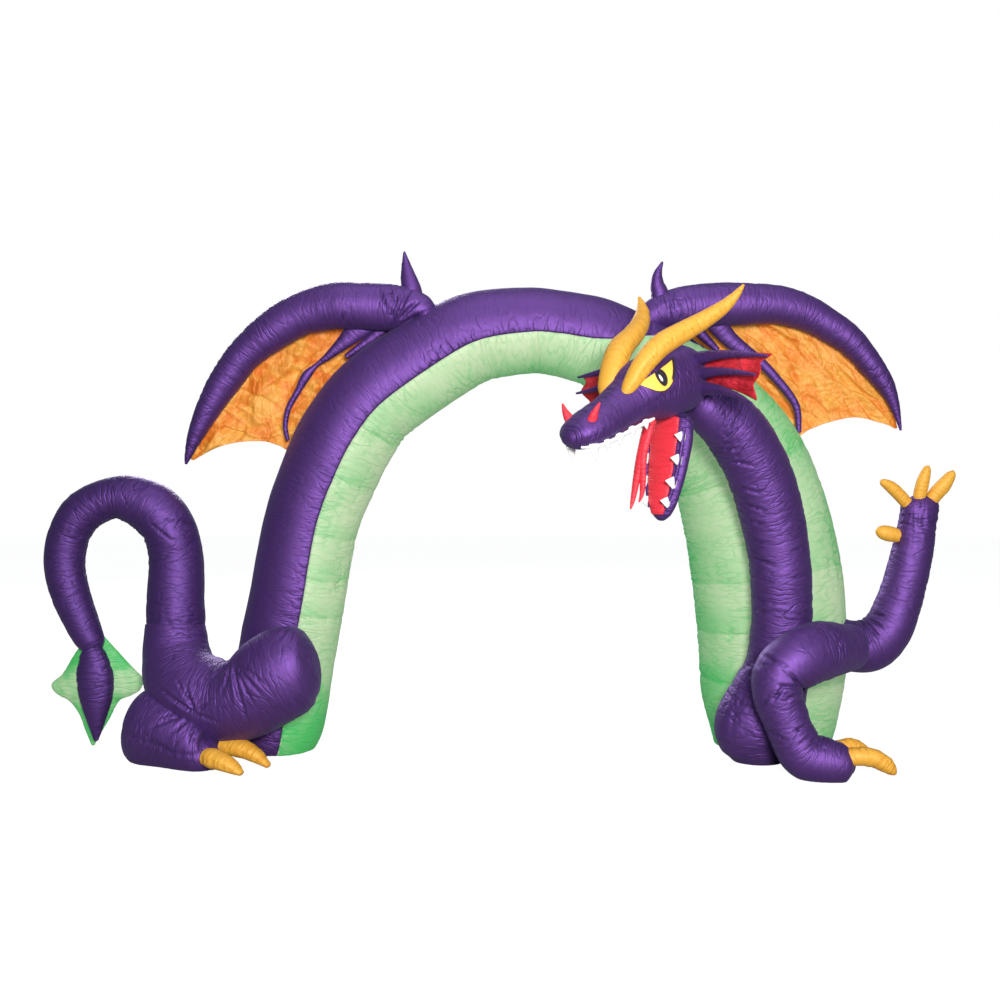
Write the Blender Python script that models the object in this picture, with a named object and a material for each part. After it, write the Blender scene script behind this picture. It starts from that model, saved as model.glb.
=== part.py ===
"""Inflatable walk-through arch in the form of a dragon, about 4.6 m wide and 2.5 m high.

Every piece is sewn nylon blown full of air, so it is modelled as the filled form that it takes:
tubes lofted through a short table of sections, and thin sheets for the wings. Metres, +Z up,
the dragon seen from its front at -Y. The origin is on the ground, in the middle of the object.
"""

import math

import bmesh
import bpy
from mathutils import Matrix, Vector

for leftover in list(bpy.data.objects):
    bpy.data.objects.remove(leftover)

# Driving dimensions.
SEAM_GAP = 0.0004  # clearance between pieces that touch
SHEET = 0.002  # thickness of the wing and frill cloth
SHEET_CLEAR = 0.002  # how far loose cloth stays from its neighbours

UP = Vector((0, 0, 1))
FRONT = Vector((0, -1, 0))

arch = bpy.data.collections.new("inflatable_arch")
bpy.context.scene.collection.children.link(arch)
stand = bpy.data.objects.new("stand", None)
arch.objects.link(stand)


def nylon(name, red, green, blue):
    material = bpy.data.materials.new(name)
    material.use_nodes = True
    shader = material.node_tree.nodes["Principled BSDF"]
    shader.inputs["Base Color"].default_value = (red, green, blue, 1)
    shader.inputs["Roughness"].default_value = 0.45
    return material


PURPLE = nylon("purple_nylon", 0.12, 0.03, 0.28)
GREEN = nylon("green_nylon", 0.30, 0.66, 0.28)
ORANGE = nylon("orange_nylon", 0.92, 0.27, 0.03)
YELLOW = nylon("yellow_nylon", 0.94, 0.48, 0.02)
RED = nylon("red_nylon", 0.75, 0.02, 0.04)
WHITE = nylon("white_nylon", 0.86, 0.86, 0.84)


# ---- Building: curves through tables, lofts, sheets and seats ----


def along(rows, place):
    """The values of a table at a place between its rows, on a smooth curve through them."""
    first = min(int(place), len(rows) - 2)
    part = place - first
    before = rows[max(first - 1, 0)]
    start, end = rows[first], rows[first + 1]
    after = rows[min(first + 2, len(rows) - 1)]
    values = []
    for p, q, r, s in zip(before, start, end, after):
        bend = 2 * p - 5 * q + 4 * r - s
        swing = 3 * (q - r) + s - p
        values.append(q + 0.5 * part * (r - p + part * (bend + part * swing)))
    return values


def stations(rows, steps):
    """The table's rows, with steps - 1 more sections between each two of them."""
    count = steps * (len(rows) - 1)
    return [along(rows, step / steps) for step in range(count + 1)]


def frames(centres, face):
    """At each centre, the two directions across the path: one to the face, one to its side."""
    result = []
    for number, centre in enumerate(centres):
        ahead = centres[min(number + 1, len(centres) - 1)]
        behind = centres[max(number - 1, 0)]
        path = (ahead - behind).normalized()
        toward = (face - face.dot(path) * path).normalized()
        result.append((toward, path.cross(toward)))
    return result


def ring(centre, frame, wide, deep, angles):
    toward, side = frame
    return [centre + side * wide * math.sin(a) + toward * deep * math.cos(a) for a in angles]


def grounded(rings):
    """Cloth that would reach below the ground lies flat on it."""
    return [[Vector((p.x, p.y, max(p.z, 0.0))) for p in points] for points in rings]


def make(name, mesh, material):
    mesh.normal_update()
    data = bpy.data.meshes.new(name)
    mesh.to_mesh(data)
    mesh.free()
    data.materials.append(material)
    data.shade_smooth()
    data.set_sharp_from_angle(angle=math.radians(40))
    piece = bpy.data.objects.new(name, data)
    arch.objects.link(piece)
    piece.parent = stand
    return piece


def loft(name, rings, material):
    """A closed skin through rings of equally many points, with a flat cap at each end."""
    mesh = bmesh.new()
    loops = [[mesh.verts.new(point) for point in points] for points in rings]
    count = len(loops[0])
    for near, far in zip(loops, loops[1:]):
        for i in range(count):
            j = (i + 1) % count
            mesh.faces.new((near[i], near[j], far[j]))
            mesh.faces.new((near[i], far[j], far[i]))
    mesh.faces.new(loops[0])
    mesh.faces.new(reversed(loops[-1]))
    bmesh.ops.recalc_face_normals(mesh, faces=mesh.faces[:])
    return make(name, mesh, material)


def tube(name, rows, material, face=FRONT, sides=12, steps=1, place=Matrix.Identity(4)):
    """A filled tube through rows of x, y, z, half width and half depth."""
    sections = stations(rows, steps)
    centres = [place @ Vector(row[:3]) for row in sections]
    facing = place.to_3x3() @ face
    angles = [2 * math.pi * i / sides for i in range(sides)]
    rings = []
    for centre, frame, row in zip(centres, frames(centres, facing), sections):
        rings.append(ring(centre, frame, row[3], row[4], angles))
    return loft(name, grounded(rings), material)


def sheet(name, grid, out, material):
    """A cloth of constant thickness on a grid of points, its thickness centred on them."""
    half = out.normalized() * (SHEET / 2)
    mesh = bmesh.new()
    layers = []
    for shift in (half, -half):
        layers.append([[mesh.verts.new(point + shift) for point in line] for line in grid])
    lines, count = len(grid), len(grid[0])
    for layer in layers:
        for a in range(lines - 1):
            for b in range(count - 1):
                p, q = layer[a][b], layer[a + 1][b]
                r, s = layer[a + 1][b + 1], layer[a][b + 1]
                mesh.faces.new((p, q, r))
                mesh.faces.new((p, r, s))
    rim = [(a, 0) for a in range(lines)]
    rim += [(lines - 1, b) for b in range(1, count)]
    rim += [(a, count - 1) for a in reversed(range(lines - 1))]
    rim += [(0, b) for b in reversed(range(1, count - 1))]
    for (a, b), (c, d) in zip(rim, rim[1:] + rim[:1]):
        near, far = layers
        mesh.faces.new((near[a][b], near[c][d], far[c][d]))
        mesh.faces.new((near[a][b], far[c][d], far[a][b]))
    bmesh.ops.recalc_face_normals(mesh, faces=mesh.faces[:])
    return make(name, mesh, material)


def swollen(other, clearance):
    """A copy of a piece that is larger all round by the clearance, for cutting its neighbours."""
    copy = bpy.data.objects.new(other.name + "_room", other.data.copy())
    arch.objects.link(copy)
    mesh = bmesh.new()
    mesh.from_mesh(copy.data)
    bmesh.ops.recalc_face_normals(mesh, faces=mesh.faces[:])
    moves = [(vert, vert.normal * clearance * vert.calc_shell_factor()) for vert in mesh.verts]
    for vert, move in moves:
        vert.co += move
    mesh.to_mesh(copy.data)
    mesh.free()
    return copy


def combine(piece, other, operation):
    modifier = piece.modifiers.new("meet", "BOOLEAN")
    modifier.operation = operation
    modifier.object = other
    modifier.solver = "EXACT"
    evaluated = piece.evaluated_get(bpy.context.evaluated_depsgraph_get())
    result = bpy.data.meshes.new_from_object(evaluated)
    piece.modifiers.clear()
    piece.data = result
    mesh = bmesh.new()
    mesh.from_mesh(result)
    bmesh.ops.remove_doubles(mesh, verts=mesh.verts[:], dist=1e-5)
    bmesh.ops.dissolve_degenerate(mesh, edges=mesh.edges[:], dist=1e-5)
    mesh.to_mesh(result)
    mesh.free()
    bpy.data.objects.remove(other)


def seat(piece, *neighbours, clearance=SEAM_GAP):
    """Cuts away what a piece shares with its neighbours, so that it lies against them."""
    for neighbour in neighbours:
        combine(piece, swollen(neighbour, clearance), "DIFFERENCE")
    return piece


def join(piece, other):
    combine(piece, other, "UNION")
    return piece


# ---- The arch: one tube, purple along its back and green along its belly ----

# Seams in degrees from the front, positive to the inside of the arch.
# x, y, z, half width, half depth, near seam, far seam
ARCH = [
    (-1.165, 0.00, 0.00, 0.180, 0.190, 14, 166),
    (-1.155, 0.00, 0.05, 0.215, 0.215, 14, 166),
    (-1.135, 0.00, 0.18, 0.240, 0.232, 14, 166),
    (-1.098, 0.00, 0.46, 0.248, 0.240, 14, 166),
    (-1.040, 0.00, 0.76, 0.243, 0.240, 14, 166),
    (-0.960, 0.00, 1.17, 0.240, 0.235, 13, 166),
    (-0.860, 0.00, 1.43, 0.245, 0.235, 12, 166),
    (-0.755, 0.00, 1.63, 0.247, 0.235, 12, 166),
    (-0.610, 0.00, 1.805, 0.243, 0.230, 12, 166),
    (-0.306, 0.00, 2.01, 0.235, 0.225, 10, 166),
    (-0.102, 0.00, 2.105, 0.227, 0.220, 8, 166),
    (0.153, 0.00, 2.135, 0.216, 0.215, 6, 166),
    (0.306, 0.00, 2.12, 0.216, 0.215, 4, 165),
    (0.460, 0.01, 2.085, 0.225, 0.220, 0, 160),
    (0.560, 0.02, 2.045, 0.228, 0.225, -14, 152),
    (0.650, 0.03, 2.00, 0.232, 0.230, -32, 142),
    (0.760, 0.045, 1.94, 0.243, 0.235, -52, 132),
    (0.870, 0.06, 1.868, 0.257, 0.245, -70, 124),
    (1.075, 0.08, 1.675, 0.312, 0.270, -86, 112),
    (1.220, 0.10, 1.47, 0.350, 0.290, -90, 108),
    (1.320, 0.10, 1.19, 0.373, 0.310, -90, 106),
    (1.372, 0.10, 0.96, 0.385, 0.320, -90, 106),
    (1.403, 0.10, 0.72, 0.386, 0.320, -90, 106),
    (1.419, 0.10, 0.47, 0.380, 0.315, -90, 106),
    (1.419, 0.10, 0.27, 0.365, 0.305, -90, 106),
    (1.422, 0.10, 0.11, 0.330, 0.280, -90, 106),
    (1.422, 0.10, 0.00, 0.300, 0.255, -90, 106),
]
BELLY_SIDES = 10
BACK_SIDES = 12


def arch_half(sides, is_back):
    """Sections of one half of the arch's tube, from one of its two seams round to the other."""
    centres = [Vector(row[:3]) for row in ARCH]
    rings = []
    for centre, frame, row in zip(centres, frames(centres, FRONT), ARCH):
        wide, deep, near, far = row[3:]
        margin = SEAM_GAP / wide
        start, end = math.radians(near), math.radians(far)
        if is_back:
            start, end = end, start + 2 * math.pi
        start, end = start + margin, end - margin
        angles = [start + (end - start) * i / sides for i in range(sides + 1)]
        rings.append(ring(centre, frame, wide, deep, angles))
    for end in (rings[0], rings[-1]):
        for point in end:
            point.z = 0.0
    return rings


def arch_loft(name, rings, material, is_back):
    """As loft, but the flat between the seams is split on the same diagonal in both halves."""
    mesh = bmesh.new()
    loops = [[mesh.verts.new(point) for point in points] for points in rings]
    for near, far in zip(loops, loops[1:]):
        for i in range(len(near) - 1):
            mesh.faces.new((near[i], near[i + 1], far[i + 1]))
            mesh.faces.new((near[i], far[i + 1], far[i]))
        first, last = (-1, 0) if is_back else (0, -1)
        mesh.faces.new((near[first], near[last], far[last]))
        mesh.faces.new((near[first], far[last], far[first]))
    mesh.faces.new(loops[0])
    mesh.faces.new(reversed(loops[-1]))
    bmesh.ops.recalc_face_normals(mesh, faces=mesh.faces[:])
    return make(name, mesh, material)


arch_belly = arch_loft("arch_belly", arch_half(BELLY_SIDES, False), GREEN, False)
arch_back = arch_loft("arch_back", arch_half(BACK_SIDES, True), PURPLE, True)

# ---- Hindquarters: rump, tail column, two haunches, two feet with two toes each ----

# x, y, z, half width, half depth
RUMP = [
    (-1.15, 0.02, 0.20, 0.10, 0.12),
    (-1.25, 0.02, 0.18, 0.20, 0.20),
    (-1.40, 0.02, 0.18, 0.24, 0.23),
    (-1.55, 0.01, 0.22, 0.25, 0.26),
    (-1.68, 0.00, 0.28, 0.19, 0.20),
    (-1.76, 0.00, 0.33, 0.08, 0.08),
]
TAIL = [
    (-1.640, -0.090, 0.570, 0.100, 0.100),
    (-1.641, -0.088, 0.610, 0.130, 0.128),
    (-1.641, -0.085, 0.660, 0.148, 0.144),
    (-1.642, -0.08, 0.77, 0.144, 0.140),
    (-1.640, -0.07, 0.98, 0.136, 0.134),
    (-1.672, -0.08, 1.13, 0.135, 0.134),
    (-1.752, -0.08, 1.232, 0.134, 0.130),
    (-1.862, -0.08, 1.284, 0.120, 0.118),
    (-1.965, -0.08, 1.285, 0.106, 0.110),
    (-2.090, -0.08, 1.225, 0.108, 0.108),
    (-2.170, -0.08, 1.112, 0.103, 0.103),
    (-2.200, -0.08, 0.96, 0.101, 0.100),
    (-2.173, -0.08, 0.80, 0.096, 0.095),
    (-2.115, -0.08, 0.65, 0.084, 0.084),
    (-2.070, -0.08, 0.55, 0.068, 0.068),
    (-2.055, -0.08, 0.50, 0.030, 0.030),
]
HAUNCH = [
    (-1.641, -0.085, 0.645, 0.150, 0.146),
    (-1.640, -0.095, 0.600, 0.157, 0.152),
    (-1.628, -0.130, 0.500, 0.172, 0.162),
    (-1.588, -0.190, 0.400, 0.194, 0.178),
    (-1.500, -0.245, 0.325, 0.206, 0.190),
    (-1.360, -0.290, 0.290, 0.205, 0.190),
    (-1.220, -0.330, 0.335, 0.205, 0.190),
    (-1.100, -0.360, 0.420, 0.222, 0.195),
    (-1.020, -0.370, 0.465, 0.220, 0.190),
    (-0.960, -0.374, 0.487, 0.198, 0.172),
    (-0.918, -0.377, 0.497, 0.152, 0.132),
    (-0.893, -0.380, 0.503, 0.085, 0.075),
]
# On the far side the haunch lies lower, against the rump.
HAUNCH_FAR = [
    (-1.72, 0.16, 0.30, 0.060, 0.060),
    (-1.70, 0.18, 0.29, 0.140, 0.130),
    (-1.62, 0.21, 0.24, 0.185, 0.170),
    (-1.50, 0.25, 0.21, 0.195, 0.180),
    (-1.37, 0.29, 0.21, 0.195, 0.180),
    (-1.25, 0.33, 0.27, 0.195, 0.180),
    (-1.15, 0.36, 0.36, 0.205, 0.185),
    (-1.09, 0.37, 0.40, 0.205, 0.180),
    (-1.02, 0.375, 0.43, 0.175, 0.150),
    (-0.97, 0.38, 0.44, 0.090, 0.080),
]
HIND_FOOT = [
    (-1.82, -0.20, 0.18, 0.070, 0.090),
    (-1.78, -0.22, 0.17, 0.150, 0.185),
    (-1.69, -0.26, 0.15, 0.175, 0.205),
    (-1.56, -0.33, 0.12, 0.155, 0.175),
    (-1.46, -0.39, 0.09, 0.130, 0.145),
    (-1.40, -0.42, 0.09, 0.100, 0.112),
    (-1.38, -0.43, 0.10, 0.050, 0.050),
]
HIND_TOES = {
    "outer": [
        (-1.40, -0.49, 0.075, 0.046, 0.042),
        (-1.36, -0.515, 0.072, 0.056, 0.049),
        (-1.31, -0.54, 0.060, 0.056, 0.046),
        (-1.26, -0.56, 0.040, 0.044, 0.034),
        (-1.215, -0.58, 0.018, 0.020, 0.014),
    ],
    "inner": [
        (-1.35, -0.375, 0.095, 0.045, 0.040),
        (-1.29, -0.39, 0.093, 0.052, 0.045),
        (-1.23, -0.41, 0.086, 0.052, 0.043),
        (-1.17, -0.435, 0.062, 0.042, 0.034),
        (-1.11, -0.46, 0.022, 0.018, 0.014),
    ],
}
SPINDLE = [
    (-2.066, -0.095, 0.55, 0.030, 0.030),
    (-2.060, -0.100, 0.50, 0.066, 0.050),
    (-2.050, -0.105, 0.40, 0.092, 0.062),
    (-2.046, -0.105, 0.30, 0.088, 0.060),
    (-2.046, -0.105, 0.19, 0.058, 0.045),
    (-2.048, -0.105, 0.06, 0.012, 0.012),
]
# The fin is a flat pillow: at each height its two edges and its half depth.
# z, left x, right x, half depth
FIN = [
    (0.585, -2.085, -2.015, 0.006),
    (0.520, -2.165, -1.960, 0.030),
    (0.430, -2.215, -1.890, 0.042),
    (0.345, -2.290, -1.820, 0.045),
    (0.290, -2.250, -1.885, 0.042),
    (0.240, -2.188, -1.952, 0.036),
    (0.180, -2.152, -1.982, 0.030),
    (0.100, -2.124, -2.034, 0.020),
    (0.024, -2.088, -2.072, 0.006),
]


def mirrored(rows):
    """The same piece on the far side of the arch."""
    return [(row[0], -row[1], *row[2:]) for row in rows]


rump = seat(tube("rump", RUMP, PURPLE, face=UP), arch_belly, arch_back)
haunches = {}
for which, haunch_rows, turned in (("near", HAUNCH, list), ("far", HAUNCH_FAR, mirrored)):
    haunch = tube("haunch_" + which, haunch_rows, PURPLE, sides=14)
    haunches[which] = seat(haunch, arch_belly, arch_back, rump)
    foot = tube("hind_foot_" + which, turned(HIND_FOOT), PURPLE, face=UP)
    seat(foot, haunches[which], rump)
    toes = []
    for toe_name, rows in HIND_TOES.items():
        toe = tube("hind_toe_" + toe_name + "_" + which, turned(rows), YELLOW, face=UP, sides=8)
        toes.append(seat(toe, foot, haunches[which], *toes))

tail = seat(tube("tail", TAIL, PURPLE), rump, haunches["near"], haunches["far"])
spindle = seat(tube("tail_spindle", SPINDLE, PURPLE, sides=10), tail)
fin_rows = []
for z, left, right, deep in FIN:
    fin_rows.append(((left + right) / 2, -0.055, z, (right - left) / 2, deep))
seat(tube("tail_fin", fin_rows, GREEN, sides=10), tail, spindle)

# ---- Neck: a tube up the front of the right leg, from a bulge on the ground ----

NECK = [
    (1.276, -0.265, 0.00, 0.125, 0.112),
    (1.276, -0.265, 0.045, 0.170, 0.145),
    (1.273, -0.268, 0.11, 0.203, 0.166),
    (1.276, -0.28, 0.19, 0.215, 0.175),
    (1.320, -0.29, 0.33, 0.185, 0.165),
    (1.362, -0.30, 0.47, 0.160, 0.152),
    (1.375, -0.31, 0.64, 0.150, 0.150),
    (1.374, -0.32, 0.81, 0.148, 0.148),
    (1.350, -0.33, 1.05, 0.150, 0.150),
    (1.295, -0.35, 1.29, 0.156, 0.155),
    (1.210, -0.39, 1.49, 0.156, 0.155),
    (1.110, -0.44, 1.635, 0.148, 0.148),
    (1.010, -0.49, 1.715, 0.130, 0.130),
    (0.930, -0.53, 1.765, 0.105, 0.105),
    (0.890, -0.55, 1.790, 0.050, 0.050),
]
neck = seat(tube("neck", NECK, PURPLE, sides=14), arch_belly, arch_back)

# ---- Fore leg: from the shoulder back to the elbow, down the shin, forward to the foot ----

FORE_LEG = [
    (1.745, -0.360, 0.585, 0.050, 0.050),
    (1.718, -0.370, 0.585, 0.105, 0.105),
    (1.640, -0.410, 0.580, 0.122, 0.125),
    (1.525, -0.480, 0.580, 0.142, 0.135),
    (1.410, -0.540, 0.550, 0.140, 0.135),
    (1.320, -0.560, 0.480, 0.132, 0.130),
    (1.308, -0.570, 0.380, 0.120, 0.122),
    (1.340, -0.580, 0.280, 0.112, 0.115),
    (1.375, -0.590, 0.190, 0.110, 0.112),
    (1.425, -0.600, 0.115, 0.118, 0.112),
    (1.505, -0.610, 0.086, 0.116, 0.110),
    (1.575, -0.620, 0.076, 0.103, 0.102),
    (1.618, -0.620, 0.070, 0.082, 0.085),
    (1.645, -0.620, 0.066, 0.040, 0.042),
]
FORE_TOES = {
    "outer": [
        (1.600, -0.650, 0.108, 0.042, 0.045),
        (1.660, -0.660, 0.118, 0.045, 0.047),
        (1.725, -0.665, 0.112, 0.046, 0.047),
        (1.782, -0.670, 0.084, 0.041, 0.042),
        (1.815, -0.675, 0.054, 0.025, 0.027),
        (1.828, -0.675, 0.040, 0.010, 0.010),
    ],
    "inner": [
        (1.600, -0.530, 0.124, 0.040, 0.040),
        (1.660, -0.520, 0.132, 0.041, 0.040),
        (1.712, -0.512, 0.116, 0.037, 0.036),
        (1.752, -0.507, 0.084, 0.026, 0.026),
        (1.775, -0.503, 0.055, 0.011, 0.011),
    ],
}
fore_leg = seat(tube("fore_leg", FORE_LEG, PURPLE, sides=14), arch_belly, arch_back, neck)
fore_toes = []
for toe_name, rows in FORE_TOES.items():
    toe = tube("fore_toe_" + toe_name, rows, YELLOW, sides=8)
    fore_toes.append(seat(toe, fore_leg, *fore_toes))

# ---- Raised arm on the far side, with three claws and a thumb ----

ARM = [
    (1.645, 0.02, 0.545, 0.080, 0.080),
    (1.705, 0.02, 0.545, 0.125, 0.120),
    (1.815, 0.02, 0.522, 0.134, 0.130),
    (1.915, 0.02, 0.534, 0.138, 0.132),
    (1.997, 0.02, 0.615, 0.126, 0.124),
    (2.050, 0.02, 0.740, 0.113, 0.113),
    (2.091, 0.02, 0.880, 0.107, 0.108),
    (2.119, 0.02, 1.010, 0.103, 0.104),
    (2.137, 0.02, 1.120, 0.098, 0.092),
    (2.147, 0.02, 1.200, 0.099, 0.083),
    (2.150, 0.02, 1.260, 0.093, 0.070),
    (2.147, 0.02, 1.290, 0.050, 0.040),
]
# x, y, z, half width, half depth
CLAWS = {
    "claw_left": [
        (2.095, 0.01, 1.240, 0.030, 0.030),
        (2.045, 0.00, 1.295, 0.032, 0.032),
        (1.995, -0.01, 1.340, 0.030, 0.030),
        (1.950, -0.02, 1.365, 0.020, 0.020),
        (1.935, -0.025, 1.370, 0.006, 0.006),
    ],
    "claw_middle": [
        (2.140, 0.01, 1.250, 0.032, 0.030),
        (2.145, 0.00, 1.310, 0.034, 0.032),
        (2.155, -0.01, 1.370, 0.033, 0.030),
        (2.170, -0.02, 1.430, 0.022, 0.020),
        (2.180, -0.02, 1.450, 0.006, 0.006),
    ],
    "claw_right": [
        (2.190, 0.01, 1.240, 0.032, 0.030),
        (2.220, 0.00, 1.300, 0.038, 0.034),
        (2.260, -0.01, 1.350, 0.037, 0.034),
        (2.295, -0.02, 1.405, 0.024, 0.022),
        (2.305, -0.02, 1.425, 0.006, 0.006),
    ],
    "thumb": [
        (2.045, 0.010, 1.090, 0.034, 0.034),
        (2.000, 0.005, 1.100, 0.041, 0.039),
        (1.958, 0.000, 1.110, 0.038, 0.036),
        (1.932, -0.002, 1.116, 0.024, 0.023),
        (1.922, -0.003, 1.118, 0.008, 0.008),
    ],
}
arm = seat(tube("raised_arm", ARM, PURPLE), arch_belly, arch_back, fore_leg)
claws = []
for claw_name, rows in CLAWS.items():
    claws.append(seat(tube(claw_name, rows, YELLOW, sides=8), arm, *claws))

# ---- Head: in a frame of its own, turned toward the viewer and tipped down ----

HEAD_AT = Vector((0.900, -0.55, 1.797))
HEAD_TURN = math.radians(38)  # from the left toward the viewer
HEAD_DIP = math.radians(20)
NOSEWARD = Vector(
    (
        -math.cos(HEAD_TURN) * math.cos(HEAD_DIP),
        -math.sin(HEAD_TURN) * math.cos(HEAD_DIP),
        -math.sin(HEAD_DIP),
    )
)
NEARWARD = Vector((math.sin(HEAD_TURN), -math.cos(HEAD_TURN), 0))
CROWNWARD = NOSEWARD.cross(NEARWARD)
HEAD = Matrix((NOSEWARD, NEARWARD, CROWNWARD)).transposed().to_4x4()
HEAD.translation = HEAD_AT
CROWN = Vector((0, 0, 1))
SIDEWAYS = Vector((0, 1, 0))
JAW_OPEN = math.radians(59)
JAW_HINGE = Vector((0.155, 0, -0.075))
DOWN_JAW = Vector((math.cos(JAW_OPEN), 0, -math.sin(JAW_OPEN)))
INWARD = Vector((math.sin(JAW_OPEN), 0, math.cos(JAW_OPEN)))  # from the jaw into the mouth

# In the head's frame: toward the nose, toward the near side, toward the crown,
# then half width and half height
SKULL = [
    (-0.060, 0, 0.100, 0.050, 0.060),
    (-0.030, 0, 0.095, 0.110, 0.110),
    (0.050, 0, 0.100, 0.145, 0.155),
    (0.190, 0, 0.110, 0.158, 0.158),
    (0.320, 0, 0.120, 0.148, 0.140),
    (0.420, 0, 0.102, 0.122, 0.112),
    (0.530, 0, 0.082, 0.112, 0.096),
    (0.620, 0, 0.074, 0.116, 0.089),
    (0.700, 0, 0.070, 0.112, 0.079),
    (0.765, 0, 0.068, 0.088, 0.060),
    (0.798, 0, 0.067, 0.040, 0.028),
]
HORN = [
    (0.480, 0.062, 0.150, 0.018, 0.018),
    (0.440, 0.074, 0.188, 0.038, 0.034),
    (0.348, 0.097, 0.258, 0.051, 0.047),
    (0.250, 0.128, 0.310, 0.055, 0.051),
    (0.130, 0.165, 0.333, 0.049, 0.047),
    (0.028, 0.210, 0.355, 0.042, 0.040),
    (-0.056, 0.260, 0.385, 0.031, 0.030),
    (-0.105, 0.300, 0.422, 0.018, 0.018),
    (-0.130, 0.330, 0.455, 0.006, 0.006),
]
NOSTRIL_SPIKE = [
    (0.690, 0.060, 0.095, 0.038, 0.030),
    (0.708, 0.075, 0.145, 0.030, 0.025),
    (0.718, 0.092, 0.195, 0.017, 0.015),
    (0.722, 0.105, 0.222, 0.005, 0.005),
]
FRILL_RIBS = {
    "upper": [
        (0.040, 0.100, 0.185, 0.020, 0.020),
        (0.050, 0.250, 0.195, 0.019, 0.019),
        (0.060, 0.410, 0.190, 0.014, 0.014),
        (0.065, 0.545, 0.178, 0.005, 0.005),
    ],
    "middle": [
        (0.050, 0.110, 0.110, 0.018, 0.018),
        (0.080, 0.250, 0.125, 0.018, 0.018),
        (0.105, 0.385, 0.125, 0.013, 0.013),
        (0.128, 0.510, 0.117, 0.005, 0.005),
    ],
    "lower": [
        (0.060, 0.110, 0.035, 0.019, 0.019),
        (0.090, 0.240, 0.045, 0.019, 0.019),
        (0.118, 0.360, 0.027, 0.014, 0.014),
        (0.147, 0.472, -0.005, 0.005, 0.005),
    ],
}
FAR_FRILL_AHEAD = 0.17  # the arch behind it presses the far frill toward the nose
FAR_FRILL_SHARE = 0.9  # and it is a little folded
FRILL_ROOT = 0.10  # where the ribs leave the head, and the length over which the far ones bend
FRILL_BEND = 0.30
FRILL_BEHIND = 0.032  # the web is sewn along the back of its ribs
WEB_LINES = 8  # between the upper rib and the lower one
WEB_STEPS = 6  # out along a rib
WEB_START, WEB_END = 0.08, 2.99  # in rows of the ribs' tables
WEB_DIP = 0.32  # of a row, between two ribs


def to_far(rows):
    """The same piece on the far side of the head."""
    return [(row[0], -row[1], *row[2:]) for row in rows]


def to_far_frill(rows):
    moved = []
    for x, y, *rest in rows:
        ahead = FAR_FRILL_AHEAD * min((y - FRILL_ROOT) / FRILL_BEND, 1.0)
        moved.append((x + ahead, -FAR_FRILL_SHARE * y, *rest))
    return moved


def frill_web(ribs):
    """The cloth between three ribs: its outer edge dips in from rib to rib."""
    lines = []
    order = ("upper", "middle", "lower")
    for number in range(WEB_LINES + 1):
        between = 2 * number / WEB_LINES
        first = min(int(between), 1)
        share = between - first
        reach = WEB_END - WEB_DIP * math.sin(math.pi * share) ** 2
        line = []
        for step in range(WEB_STEPS + 1):
            place = WEB_START + (reach - WEB_START) * step / WEB_STEPS
            one = Vector(along(ribs[order[first]], place)[:3])
            other = Vector(along(ribs[order[first + 1]], place)[:3])
            line.append(HEAD @ (one.lerp(other, share) - Vector((FRILL_BEHIND, 0, 0))))
        lines.append(line)
    return lines


def across_jaw(distance, lift, aside=0.0):
    """A place on the lower jaw: down from its hinge, up from its middle, to the near side."""
    return JAW_HINGE + DOWN_JAW * distance + INWARD * lift + Vector((0, aside, 0))


# distance from the hinge, half width, half thickness
JAW = [
    (-0.030, 0.060, 0.030),
    (0.000, 0.100, 0.052),
    (0.080, 0.118, 0.058),
    (0.180, 0.115, 0.054),
    (0.280, 0.102, 0.049),
    (0.380, 0.080, 0.042),
    (0.438, 0.053, 0.031),
    (0.464, 0.020, 0.014),
]
LINING_SHARE = 0.72  # of the jaw's width
LINING_THICK = 0.016
LINING_SINK = 0.004  # below the jaw's inner face

head = seat(tube("head", SKULL, PURPLE, face=CROWN, sides=16, place=HEAD), neck)
jaw_rows = [(*across_jaw(down, 0), wide, thick) for down, wide, thick in JAW]
jaw = tube("jaw", jaw_rows, PURPLE, face=INWARD, sides=14, place=HEAD)
seat(jaw, head, neck)
lining_rows = []
for down, wide, thick in JAW[1:-1]:
    place = across_jaw(down, thick - LINING_SINK)
    lining_rows.append((*place, LINING_SHARE * wide, LINING_THICK))
lining = tube("mouth_lining", lining_rows, RED, face=INWARD, sides=10, place=HEAD)
seat(lining, head, jaw)

# The tongue hangs from the roof of the mouth and parts into two tips.
TONGUE = {
    "left": [
        (0.260, 0.00, 0.010, 0.020, 0.014),
        (0.325, 0.00, -0.045, 0.028, 0.020),
        (0.405, -0.005, -0.150, 0.026, 0.018),
        (0.462, -0.016, -0.250, 0.019, 0.015),
        (0.512, -0.014, -0.322, 0.013, 0.011),
        (0.545, -0.010, -0.358, 0.004, 0.004),
    ],
    "right": [
        (0.260, 0.005, 0.010, 0.018, 0.012),
        (0.325, 0.005, -0.045, 0.026, 0.018),
        (0.404, 0.004, -0.150, 0.024, 0.017),
        (0.448, 0.012, -0.250, 0.017, 0.013),
        (0.476, 0.012, -0.310, 0.012, 0.010),
        (0.500, 0.006, -0.342, 0.004, 0.004),
    ],
}
tongue = tube("tongue", TONGUE["left"], RED, face=INWARD, sides=8, place=HEAD)
join(tongue, tube("tongue_right", TONGUE["right"], RED, face=INWARD, sides=8, place=HEAD))
seat(tongue, head, lining)

# share of the tooth's length, of its half width along the lip, of its half thickness
TOOTH = [
    (0.00, 1.00, 0.80),
    (0.30, 0.80, 0.90),
    (0.70, 0.38, 0.60),
    (1.00, 0.06, 0.15),
]
TOOTH_ROOT = 0.006  # how deep a tooth is sewn into its strip
TOOTH_HALF = 0.009  # half the thickness of a tooth


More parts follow.
